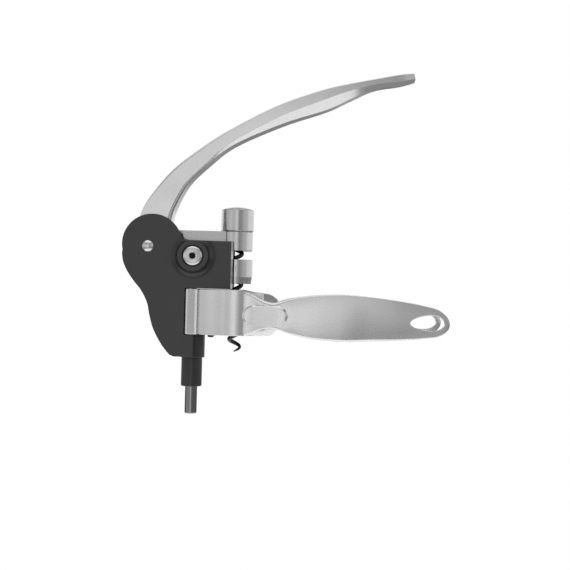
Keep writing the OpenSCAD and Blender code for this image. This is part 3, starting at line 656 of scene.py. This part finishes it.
def make_lever():
    last = len(LEVER_ROWS) - 1
    rings = [lever_ring(k, i / LEVER_STEPS) for k in range(last) for i in range(LEVER_STEPS)]
    lever = skin("lever_arm_casting", rings + [lever_ring(last - 1, 1.0)])
    profile = [(0, -HUB_HALF), (HUB_R, -HUB_HALF), (HUB_R, HUB_HALF), (0, HUB_HALF)]
    join(lever, turned("hub", profile, (PIVOT.x, 0, PIVOT.z), "-y", 0.6))
    cut(lever, bar("gear_slot", PIVOT.x, PIVOT.z, GEAR_SLOT_R, -GEAR_SLOT_HALF, GEAR_SLOT_HALF, 128),
        bar("bush_bore", PIVOT.x, PIVOT.z, BUSH_BORE, -20, 20))
    place(smooth(lever), "lever")


# Carriage

KNOB_DOME, KNOB_HOLLOW = 1.7, 3.4
NECK_BORE, NECK_R = 7.0, 8.4


def make_knob():
    """Knob with a low dome, hollow from below where it sits on the head's neck."""
    low, high = span("knob_cap")
    r = radius("knob_cap")
    rim, hollow = high.z - KNOB_DOME, low.z + KNOB_HOLLOW
    dome_r = (r * r + KNOB_DOME ** 2) / 2 / KNOB_DOME
    dome = arc(0, high.z - dome_r, dome_r, math.degrees(math.acos(r / dome_r)), 90, 12)
    wall = filleted([(0, hollow), (NECK_BORE, hollow), (NECK_R, low.z), (r, low.z), (r, rim)],
                    [0, 0.2, 0.2, 0.5, 0], 4, closed=False)
    edge = filleted([(r, rim - 3), (r, rim), dome[3]], [0, 0.6, 0], 4, closed=False)
    knob = lathe("knob", wall[:-1] + edge[1:] + dome[4:], (0, 0, 0), segments=128)
    place(smooth(knob), "knob_cap", TURNED)


def make_worm_head():
    low, high = span("worm_head")
    r = radius("worm_head")
    top = span("carriage_arm")[1].z
    shank_r, washer_r, washer_z = 2.6, 5.0, low.z + 5
    profile = [(washer_r, low.z), (r, low.z), (r, top), (NECK_R, top), (NECK_R, high.z), (NECK_BORE, high.z),
               (NECK_BORE, top - 0.3), (shank_r, top - 0.3), (shank_r, washer_z), (washer_r, washer_z)]
    head = turned("worm_head_block", profile, (0, 0, 0), edge=0.35, closed=True, segments=128)
    place(smooth(head), "worm_head", TURNED)


def make_guide_rod():
    low, high = span("guide_rod")
    r = radius("guide_rod")
    spigot_r, spigot_low = 2.2, -20.2
    profile = [(0, low.z), (r, low.z), (r, spigot_low), (spigot_r, spigot_low), (spigot_r, high.z),
               (0, high.z)]
    rod = turned("guide_rod_bar", profile, (ROD.x, 0, 0), edge=0.8)
    place(smooth(rod), "guide_rod")


def refined(node, name, width, material=None):
    """Copy of a CAD node with its flat faces joined and its corners rounded."""
    source = frame["nodes"][node]
    obj = bpy.data.objects.new(name, source.data.copy())
    bpy.context.scene.collection.objects.link(obj)
    bm = bmesh.new()
    bm.from_mesh(obj.data)
    bmesh.ops.remove_doubles(bm, verts=bm.verts, dist=CAD_MERGE)
    bmesh.ops.dissolve_limit(bm, angle_limit=math.radians(1), verts=bm.verts, edges=bm.edges)
    bm.to_mesh(obj.data)
    bm.free()
    bevel = obj.modifiers.new("bevel", "BEVEL")
    bevel.width = width * MM
    bevel.segments = 3
    bevel.limit_method = "ANGLE"
    bevel.angle_limit = math.radians(40)
    bevel.use_clamp_overlap = True
    settle(obj)
    return place(smooth(obj), node, material)


# Nut block

NUT_R, NUT_BORE, NUT_STEP = 9.6, 6.35, 4
GROOVE_LEFT, GROOVE_RIGHT, GROOVE_Y = -2.6, -0.9, -7.6
SLOT_LOW, SLOT_HIGH = (-0.3, 24.2), (0.8, 27.4)
SLOT_Y = -8.6


def make_nut():
    """Round block with a narrower band below, a shoe towards the body, a groove and a small slot. The
    groove's faces carry painted shade.
    """
    _, high = span("nut_block")
    half = radius("nut_block", 1)
    base = span("nut_bush")[0].z
    step = base + NUT_STEP
    profile = [(NUT_BORE, base), (NUT_R - 0.7, base), (NUT_R - 0.15, step), (NUT_R, step), (NUT_R, high.z),
               (NUT_BORE, high.z)]
    nut = turned("nut_block_body", profile, (0, 0, 0), edge=0.35, closed=True, segments=128)
    shoe = block("shoe", (-15, -half, FLOOR_TOP), (-6, half, FLOOR_TOP + 11), 0.5)
    cut(shoe, post("bush_room", 0, 0, 6.5, 0, 60))
    join(nut, shoe)
    cut(nut, block("block_groove", (GROOVE_LEFT, -11, base - 1), (GROOVE_RIGHT, GROOVE_Y, high.z + 1), 0.1),
        block("screw_slot", (SLOT_LOW[0], -11, SLOT_LOW[1]), (SLOT_HIGH[0], SLOT_Y, SLOT_HIGH[1]), 0.2))

    # Faces in the groove, which take painted shade for the dark gap beside the body
    def in_groove(centre, _):
        return (base + 0.2 < centre.z < high.z - 0.2 and GROOVE_LEFT + 0.1 < centre.x < GROOVE_RIGHT + 0.02
                and -9.2 < centre.y < GROOVE_Y + 0.1)

    place(two_looks(smooth(nut), TURNED, PAINTED_SHADE, in_groove), "nut_block", TURNED)


# Worm

WIRE_R, PITCH, SEAT = 1.3, 9.3, 34.9
WIRE_SIDES, STEPS_PER_TURN = 14, 36
TIP_Z, COIL_TOP = -23.4, 40.3
TIP_TAPER = 7.5
SHANK_R = 2.5


def worm_ring(z, coil_r):
    """Section of the wire, which thins towards the tip."""
    a = (z - SEAT) / PITCH * 2 * math.pi
    out = Vector((math.cos(a), math.sin(a), 0))
    way = Vector((-coil_r * math.sin(a), coil_r * math.cos(a), PITCH / 2 / math.pi)).normalized()
    up = out.cross(way)
    r = WIRE_R * min(1.0, 0.12 + math.sqrt(max(z - TIP_Z, 0) / TIP_TAPER))
    turn = [2 * math.pi * s / WIRE_SIDES for s in range(WIRE_SIDES)]
    return [out * coil_r + Vector((0, 0, z)) + (out * math.cos(b) + up * math.sin(b)) * r for b in turn]


def make_worm():
    _, high = span("worm")
    coil_r = radius("worm") - WIRE_R
    count = round((COIL_TOP - TIP_Z) / PITCH * STEPS_PER_TURN)
    heights = [TIP_Z + (COIL_TOP - TIP_Z) * i / count for i in range(count + 1)]
    worm = skin("worm_wire", [worm_ring(z, coil_r) for z in heights])
    foot = COIL_TOP - 2
    profile = [(0, foot), (coil_r - 0.4, foot), (SHANK_R, COIL_TOP), (SHANK_R, high.z), (0, high.z)]
    join(worm, turned("shank", profile, (0, 0, 0), edge=0.2))
    place(smooth(worm), "worm")


# Paddle of a handle, as tables along X

PADDLE_TOP = [(2, 13.3), (6, 12.7), (11, 10.8), (16, 8.3), (20, 6.9), (24, 6.6), (32, 8.9), (45, 10.8),
              (56, 11.7), (66, 11.9), (79, 11.2), (92, 9.9), (105, 8.1), (113.6, 6.4), (119.4, 4.9),
              (125.9, 2.8)]
PADDLE_LOW = [(2, -13.3), (6, -12.8), (11, -11.3), (16, -9.3), (20, -8.6), (24, -8.8), (32, -11.4),
              (45, -14.0), (56, -14.9), (66, -15.2), (79, -14.6), (92, -14.0), (105, -13.1), (113.6, -12.1),
              (119.4, -11.3), (125.9, -10.2)]
PADDLE_FRONT = [(2, -20.3), (4, -20.1), (5, -19.95), (6, -19.86), (7, -19.8), (8.5, -19.8), (10.5, -19.93),
                (13, -20.2), (16, -20.52), (20, -20.9), (24, -21.1), (32, -21.5), (45, -21.7), (56, -21.8),
                (66, -21.8), (79, -21.6), (92, -21.2), (105, -20.5), (115.5, -19.8), (121.5, -19.4),
                (125.9, -19.1)]
PADDLE_LEAN = [(2, 0), (20, 0), (24, 0.01), (32, 0.02), (45, 0.025), (56, 0.035), (66, 0.05), (79, 0.085),
               (92, 0.10), (105, 0.10), (115.5, 0.085), (121.5, 0.06), (125.9, 0.03)]
TOP_ROUND = [(2, 0.8), (10, 1.6), (24, 1.9), (34, 1.0), (50, 0.45), (121.5, 0.45)]
LOW_ROUND = [(2, 0.8), (10, 1.2), (24, 1.2), (45, 1.5), (79, 1.6), (100, 1.1), (121.5, 0.6)]
PADDLE_T = 3.4
CROWN, CROWN_START, CROWN_RUN = 0.8, 20, 14
END_X, END_MID, END_POWER = 116.0, -3.4, 2.3
END_BACK, END_LEAST = 0.6, 0.35
TIP_X = 125.9


def end_share(x):
    """How much of the height is left where the paddle rounds off towards its end."""
    t = min(max((x - END_X) / (TIP_X - END_X), 0.0), 1.0)
    return (1 - t ** END_POWER) ** (1 / END_POWER)


def paddle_edge(table, x):
    return END_MID + (value_at(table, x) - END_MID) * end_share(x)


def paddle_facts(x):
    """Top, bottom, front, crown, lean and thickness of the paddle at x."""
    share = max(end_share(x), END_LEAST)
    top, low = paddle_edge(PADDLE_TOP, x), paddle_edge(PADDLE_LOW, x)
    front = value_at(PADDLE_FRONT, x) + END_BACK * (1 - end_share(x))
    rise = CROWN * min(1.0, max(0.0, (x - CROWN_START) / CROWN_RUN)) * share
    return top, low, front, rise, value_at(PADDLE_LEAN, x) * share, PADDLE_T * (0.7 + 0.3 * share)


def front_at(x, z):
    """Front of the paddle with its crown."""
    top, low, front, rise, lean, _ = paddle_facts(x)
    half_h, mid = (top - low) / 2, (top + low) / 2
    return front + rise * ((z - mid) / half_h) ** 2 + lean * (top - z)


def back_at(x, _):
    """Flat back of the paddle."""
    top, low, front, rise, lean, thick = paddle_facts(x)
    half_h = (top - low) / 2
    return front + rise + lean * half_h + thick


def paddle_ring(x):
    """Closed section of the paddle: crowned front, rounded rims and flat back."""
    top, low, front, rise, lean, thick = paddle_facts(x)
    half_h = (top - low) / 2
    mid = (top + low) / 2
    top_r = min(value_at(TOP_ROUND, x), half_h * 0.6)
    low_r = min(value_at(LOW_ROUND, x), half_h * 0.6)
    back_r = min(0.7, half_h * 0.4)
    reach_up, reach_down = half_h - top_r, low_r - half_h
    back_y = front + rise + lean * half_h + thick

    def crowned(z):
        return front + rise * (z / half_h) ** 2 + lean * (half_h - z)

    heights = [reach_down + (reach_up - reach_down) * i / 16 for i in range(17)]
    face = [(crowned(z), z) for z in heights]
    bend = arc(crowned(reach_up) + top_r, reach_up, top_r, 180, 90, 5)[1:]
    back = (arc(back_y - back_r, half_h - back_r, back_r, 90, 0, 3) + [(back_y, 0)]
            + arc(back_y - back_r, back_r - half_h, back_r, 0, -90, 3))
    low_bend = arc(crowned(reach_down) + low_r, reach_down, low_r, -90, -180, 5)[:-1]
    return [(x, y, mid + z) for y, z in face + bend + back + low_bend]


def paddle():
    """Even sections, which get closer towards the round end."""
    first, even_end, last = PADDLE_TOP[0][0], 110.0, TIP_X - 0.05
    stations = [first + (even_end - first) * i / 54 for i in range(54)]
    stations += [even_end + (last - even_end) * math.sin(math.radians(90 * i / 22)) for i in range(23)]
    return skin("paddle", [paddle_ring(x) for x in stations])


# Hanging hole, as rows of depth and margin at the front and the back

HANG_X, HANG_Z = 112.9, -3.25
HANG_L, HANG_R = 20.2, 4.45
EGG_SHARE = 0.2
FACE_END = 124.0
HOLE_FRONT = [(-6.0, 0.55), (-0.3, 0.55), (0.0, 0.4), (0.15, 0.22), (0.4, 0.07), (0.7, 0.0)]
HOLE_BACK = [(-0.7, 0.0), (-0.35, 0.07), (-0.1, 0.25), (0.1, 0.45), (6.0, 0.45)]


def egg_ring(surface, depth, margin):
    ring = []
    for i in range(96):
        a = 2 * math.pi * i / 96
        rim = margin * (0.6 + 0.4 * math.sin(a))
        x = HANG_X + (HANG_L / 2 + rim) * math.cos(a)
        z = HANG_Z + (HANG_R + rim) * math.sin(a) * (1 + EGG_SHARE * math.cos(a))
        ring.append((x, surface(min(x, FACE_END), z) + depth, z))
    return ring


def egg_cutter():
    """Hanging hole with rounded rims on both faces."""
    rings = [egg_ring(front_at, *row) for row in HOLE_FRONT]
    return skin("egg_hole", rings + [egg_ring(back_at, *row) for row in HOLE_BACK])


# Oval on the waist, as rows of margin and rise

PANEL_X0, PANEL_X1, PANEL_Z, PANEL_R = 11.2, 25.2, -1.25, 5.5
PANEL_BACK, PANEL_DROP = -18.2, 0.2
PANEL_ROWS = [(0.55, -0.06), (0.45, 0.0), (0.35, 0.05), (-0.35, 0.55), (-0.5, 0.61), (-1.6, 0.64),
              (-2.8, 0.64), (-4.0, 0.64), (-5.2, 0.64)]
WALL_MARGIN = 0.6


def stadium(x0, x1, z, r, steps):
    return arc(x1, z, r, -90, 90, steps) + arc(x0, z, r, 90, 270, steps)


def slant(up):
    """Share of the wall's margin: a slope at the top, a wide one at the ends and a step at the bottom."""
    return 1.4 - 0.4 * up if up > 0 else 1.4 + 1.1 * up


def panel_ring(margin, rise):
    """Ring on the waist's front, or flat behind it where rise is None. It fades out towards the jaw."""
    points = []
    for x, v in stadium(PANEL_X0, PANEL_X1, PANEL_Z, PANEL_R, 20):
        cx = min(max(x, PANEL_X0), PANEL_X1)
        out = Vector((x - cx, v - PANEL_Z)) / PANEL_R
        share = slant(out.y) if abs(margin) < WALL_MARGIN else 1.0
        reach = PANEL_R + PANEL_DROP * max(0.0, -out.y) + margin * share
        u, w = cx + out.x * reach, PANEL_Z + out.y * reach
        fade = 0.45 + 0.55 * min(max((u - 6) / 12, 0.0), 1.0)
        points.append((u, PANEL_BACK if rise is None else front_at(max(u, 2), w) - rise * fade, w))
    return points


def panel():
    """Oval with sloping walls that stands a little out of the waist."""
    return skin("panel", [panel_ring(PANEL_ROWS[0][0], None)] + [panel_ring(*row) for row in PANEL_ROWS])


# Jaw

JAW_IN, JAW_OUT = 17.4, 20.6
KNUCKLE_FACE = -HINGE_Y - 4.65
NECK_ROOM_R, PIN_BORE = 18.1, 2.05
LIP_FOOT, LIP_RISE = 21.5, 4.7
LIP_EDGE = [(-3, 0.3), (2, 0.05), (5, -0.2), (10.7, -1.3), (15.2, -1.6), (20.5, -2.4), (23.3, -3.9),
            (26.5, -6.6)]
# Slanted rooms under and over the lip: place, turn, start and outline
LIP_SLOPES = [((18, -11.6, 3.8 - JAW_TOP), 34, -14, [(-1.9, 3), (5.04, -8), (-4, -8), (-4, 3)]),
              ((22.5, -8.6, 3.6), 27, -6.5, [(-2.6, -8), (6.5, 20), (-5, 20), (-5, -8)])]
UPPER_SLOPE_NORMAL = Vector((0.432, -0.847, 0.309))


def jaw_plan():
    """Plan of knuckle and jaw around the bottle neck."""
    knuckle = filleted([(HINGE_X + 3.6, -HINGE_Y + 3.2), (HINGE_X - 2.7, -HINGE_Y + 3.2),
                        (NOTCH_X + 0.05, KNUCKLE_FACE), (HINGE_X + 2.9, KNUCKLE_FACE + 0.85),
                        (HINGE_X + 4.3, KNUCKLE_FACE + 0.78), (HINGE_X + 4.6, KNUCKLE_FACE + 1.8)],
                       [0, 3.0, 1.2, 0.1, 0.15, 0.1], 6, closed=False)
    blend = spline([(-20.6, -13.9), (-16.0, -16.35), (-11.6, -18.15)] + arc(0, 0, JAW_OUT, 249, 254, 1), 6)
    lip = spline([(18.0, -11.6), (21.6, -9.0), (25.0, -7.4)], 4) + [(25.4, -6.6), (25.2, -5.4), (23.0, -5.0)]
    return arc(0, 0, JAW_IN, 343, 203, 44) + knuckle + blend[:-1] + arc(0, 0, JAW_OUT, 254, 318, 36) + lip


def lip_cutter():
    """Room over the sloping upper edge of the jaw's end."""
    corners = [(x, JAW_TOP + z) for x, z in LIP_EDGE]
    outline = spline(corners, 5) + [(40, corners[-1][1]), (40, 30), (-3, 30)]
    return plate("lip_room", outline, -40, 40, 0.01, 0.01)


def lip_foot_cutter():
    """Room at the lower corner of the jaw's end."""
    level = LIP_RISE - JAW_TOP
    outline = [(LIP_FOOT, -40), (40, -40), (40, level), (LIP_FOOT + LIP_RISE, level), (LIP_FOOT, -JAW_TOP)]
    return plate("foot_room", outline, -40, 40, 0.01, 0.01)


def lip_slopes():
    rooms = []
    for at, turn, start, outline in LIP_SLOPES:
        spin = Matrix.Rotation(math.radians(turn), 3, "Z")
        rings = [[Vector(at) + spin @ Vector((s, u, v)) for u, v in outline] for s in (start, 16)]
        rooms.append(skin("lip_slope_room", rings))
    return rooms


# Faces of the lip's upper slope, which take painted shade in the darker metal
def on_upper_slope(centre, normal):
    return normal.dot(UPPER_SLOPE_NORMAL) > 0.995 and centre.z > -2


def handle(name):
    """Near handle: knuckle, jaw, waist and paddle."""
    jaw = plate("jaw", jaw_plan(), -JAW_TOP, JAW_TOP, 0.5, 0.5, "z")
    cut(jaw, lip_cutter(), lip_foot_cutter(), *lip_slopes())
    blade = cut(paddle(), post("neck_room", 0, 0, NECK_ROOM_R, -30, 30, 160), egg_cutter())
    whole = join(jaw, blade, panel())
    cut(whole, post("pin_room", HINGE_X, -HINGE_Y, PIN_BORE, -30, 30))
    whole.name = name
    # The lip's upper slope takes the darker metal as painted shade
    return two_looks(smooth(whole), SATIN, MACHINED_AND_PAINTED_LIGHT, on_upper_slope)


def make_handles():
    near = handle("handle_near")
    far = mirrored(near, "handle_far")
    place(near, "near_handle")
    place(far, "far_handle")


NECK_GRIP_R, PAD_R = 14.4, 17.38
TAB_START, TAB_END = 203.5, 214


def make_pads():
    """Rubber against the bottle neck, with a small tab at the lower edge."""
    low, high = span("near_jaw_pad")
    outline = arc(0, 0, NECK_GRIP_R, 203, 337, 48) + arc(0, 0, PAD_R, 337, 203, 48)
    tab = (arc(0, 0, NECK_GRIP_R + 0.2, TAB_START, TAB_END, 8)
           + arc(0, 0, PAD_R - 0.2, TAB_END, TAB_START, 8))
    near = cut(plate("jaw_pad_near", outline, 0.05 - JAW_TOP, high.z, 0.5, 0.5, "z"), lip_cutter())
    smooth(join(near, plate("tab", tab, low.z - 0.4, 2 - JAW_TOP, 0.3, 0.3, "z")))
    far = mirrored(near, "jaw_pad_far")
    place(near, "near_jaw_pad")
    place(far, "far_jaw_pad")


# Camera, floor and light

IMAGE_SIZE = 570
FOCAL_PX = 1000.0
SENSOR = 36.0
ROLL = math.radians(1.5)
CAMERA_AT = Vector((29.4, -600.0, 17.0))
FLOOR_R, FLOOR_LEVEL = 0.45, -0.30
FLOOR_COLOUR = (0.9, 0.9, 0.9)


def make_camera():
    data = bpy.data.cameras.new("camera")
    data.sensor_width = SENSOR
    data.lens = SENSOR * FOCAL_PX / IMAGE_SIZE
    data.clip_end = 10.0
    camera = bpy.data.objects.new("camera", data)
    bpy.context.scene.collection.objects.link(camera)
    right = Vector((math.cos(ROLL), 0, math.sin(ROLL)))
    up = Vector((-math.sin(ROLL), 0, math.cos(ROLL)))
    back = Vector((0, -1, 0))
    matrix = Matrix((right, up, back)).transposed().to_4x4()
    matrix.translation = CAMERA_AT * MM
    camera.matrix_world = matrix
    bpy.context.scene.camera = camera


def make_floor():
    """Pale round floor well under the part, which metal sees as white. Its sizes are metres."""
    mesh = bpy.data.meshes.new("floor")
    turn = [2 * math.pi * i / 96 for i in range(96)]
    ring = [(FLOOR_R * math.cos(a), FLOOR_R * math.sin(a), FLOOR_LEVEL) for a in turn]
    mesh.from_pydata(ring, [], [tuple(range(96))])
    floor = bpy.data.objects.new("floor", mesh)
    bpy.context.scene.collection.objects.link(floor)
    material, node = shader("floor_paint", FLOOR_COLOUR, 0.8)
    tree = material.node_tree
    output = tree.nodes["Material Output"]
    glow = tree.nodes.new("ShaderNodeEmission")
    glow.inputs["Strength"].default_value = 1.0
    path = tree.nodes.new("ShaderNodeLightPath")
    mix = tree.nodes.new("ShaderNodeMixShader")
    tree.links.new(path.outputs["Is Glossy Ray"], mix.inputs["Fac"])
    tree.links.new(node.outputs["BSDF"], mix.inputs[1])
    tree.links.new(glow.outputs["Emission"], mix.inputs[2])
    tree.links.new(mix.outputs["Shader"], output.inputs["Surface"])
    floor.data.materials.append(material)


def fade(tree, value, start, end):
    """Soft step from 0 where the value is start to 1 where it is end."""
    node = tree.nodes.new("ShaderNodeMapRange")
    node.interpolation_type = "SMOOTHSTEP"
    node.inputs["From Min"].default_value = start
    node.inputs["From Max"].default_value = end
    tree.links.new(value, node.inputs["Value"])
    return node.outputs["Result"]


def mixed(tree, factor, a, b):
    """Mix of two levels, each a plain number or a socket."""
    node = tree.nodes.new("ShaderNodeMix")
    tree.links.new(factor, node.inputs["Factor"])
    for name, value in (("A", a), ("B", b)):
        if isinstance(value, float):
            node.inputs[name].default_value = value
        else:
            tree.links.new(value, node.inputs[name])
    return node.outputs["Result"]


# What metal sees around the part, by the angle in degrees from the camera's side, left negative
LEVEL_LIGHT = [(-106, 0.93), (-97, 0.60), (-60, 0.62), (-50, 0.84), (-40, 0.80), (-30, 0.66), (-17, 0.58),
               (-9, 0.84), (-5, 0.95), (4, 0.95), (6, 0.72), (8, 0.50), (10, 0.38), (13, 0.32), (17, 0.26),
               (29, 0.34), (50, 0.60), (76, 0.63), (84, 0.93)]
UPPER_LIGHT = [(-104, 0.93), (-98, 0.51), (-83, 0.47), (-43, 0.46), (-20, 0.50), (-9, 0.76), (-6, 0.74),
               (-3, 0.56), (2, 0.50), (7, 0.36), (15, 0.32), (29, 0.35), (50, 0.58), (76, 0.63), (84, 0.93)]
BELOW_LIGHT = [(-60, 0.47), (-16, 0.44), (-10, 0.80), (-6, 1.0), (1.5, 1.0), (3.5, 0.78), (5.5, 0.58),
               (8, 0.42), (11, 0.34), (14, 0.32), (20, 0.26), (30, 0.20), (90, 0.18)]
DIM = 0.26
OVERHEAD = 1.0
BEHIND_BELOW = 0.16
# Heights of the view ray over which one light fades into the next
UPPER_FADE, DIM_FADE, OVERHEAD_FADE = (0.08, 0.17), (0.25, 0.60), (0.66, 0.80)
BELOW_FADE, DEEP_FADE = (-0.02, -0.10), (-0.28, -0.38)
BEHIND_FADE = (0.0, 0.2)
EVEN_LIGHT, CAMERA_WHITE = 0.8, 1.0


def azimuth(tree, x, y):
    """Angle around the part from the camera's side, as a share of the full circle."""
    flip = tree.nodes.new("ShaderNodeMath")
    flip.operation = "MULTIPLY"
    flip.inputs[1].default_value = -1.0
    tree.links.new(y, flip.inputs[0])
    angle = tree.nodes.new("ShaderNodeMath")
    angle.operation = "ARCTAN2"
    tree.links.new(x, angle.inputs[0])
    tree.links.new(flip.outputs[0], angle.inputs[1])
    share = tree.nodes.new("ShaderNodeMapRange")
    share.inputs["From Min"].default_value = -math.pi
    share.inputs["From Max"].default_value = math.pi
    tree.links.new(angle.outputs[0], share.inputs["Value"])
    return share.outputs["Result"]


def ramp(tree, share, table):
    """Level from a table of (degrees, level) for a share of the full circle."""
    node = tree.nodes.new("ShaderNodeValToRGB")
    stops = node.color_ramp.elements
    for k, (angle, level) in enumerate(table):
        stop = stops[k] if k < 2 else stops.new(1.0)
        stop.position = (angle + 180) / 360
        stop.color = (level, level, level, 1)
    tree.links.new(share, node.inputs["Fac"])
    return node.outputs["Color"]


def make_world():
    """White for the camera, even light for matt surfaces, and soft boxes in a grey room for metal."""
    world = bpy.data.worlds.new("studio")
    world.use_nodes = True
    bpy.context.scene.world = world
    tree = world.node_tree
    nodes, links = tree.nodes, tree.links
    background = nodes["Background"]
    background.inputs["Color"].default_value = (1, 1, 1, 1)
    coords = nodes.new("ShaderNodeTexCoord")
    parts = nodes.new("ShaderNodeSeparateXYZ")
    links.new(coords.outputs["Generated"], parts.inputs[0])
    x, y, z = (parts.outputs[name] for name in "XYZ")
    around = azimuth(tree, x, y)
    below = mixed(tree, fade(tree, y, *BEHIND_FADE), ramp(tree, around, BELOW_LIGHT), BEHIND_BELOW)
    below = mixed(tree, fade(tree, z, *DEEP_FADE), below, DIM)
    room = ramp(tree, around, LEVEL_LIGHT)
    for heights, beyond in ((UPPER_FADE, ramp(tree, around, UPPER_LIGHT)), (DIM_FADE, DIM),
                            (OVERHEAD_FADE, OVERHEAD), (BELOW_FADE, below)):
        room = mixed(tree, fade(tree, z, *heights), room, beyond)
    path = nodes.new("ShaderNodeLightPath")
    strength = mixed(tree, path.outputs["Is Camera Ray"], room, CAMERA_WHITE)
    strength = mixed(tree, path.outputs["Is Diffuse Ray"], strength, EVEN_LIGHT)
    links.new(strength, background.inputs["Strength"])


def make_lamp(name, at, size, power):
    """Disc lamp that looks at the part and lights only matt surfaces."""
    data = bpy.data.lights.new(name, "AREA")
    data.shape = "DISK"
    data.size = size * MM
    data.energy = power
    lamp = bpy.data.objects.new(name, data)
    bpy.context.scene.collection.objects.link(lamp)
    lamp.location = Vector(at) * MM
    lamp.rotation_euler = (-lamp.location).to_track_quat("-Z", "Y").to_euler()
    lamp.visible_glossy = False


make_camera()
make_floor()
make_world()
make_lamp("key", at=(-420, -420, 380), size=320, power=0.8)
make_body()
make_sleeve()
make_pivot_pin()
make_caps()
make_lever()
make_knob()
make_worm_head()
make_guide_rod()
make_nut()
make_worm()
make_handles()
make_pads()
refined("carriage_arm", "carriage_arm_casting", 0.35, MACHINED_AND_PAINTED_LIGHT)
refined("rack_slide", "rack_bar", 0.12)
refined("gear_sector", "gear_segment", 0.12)

for node, obj in frame["nodes"].items():
    obj.data.materials.clear()
    obj.data.materials.append(SLOT_MATERIAL[SLOT_OF[node]])

bpy.context.scene.view_settings.view_transform = "Standard"
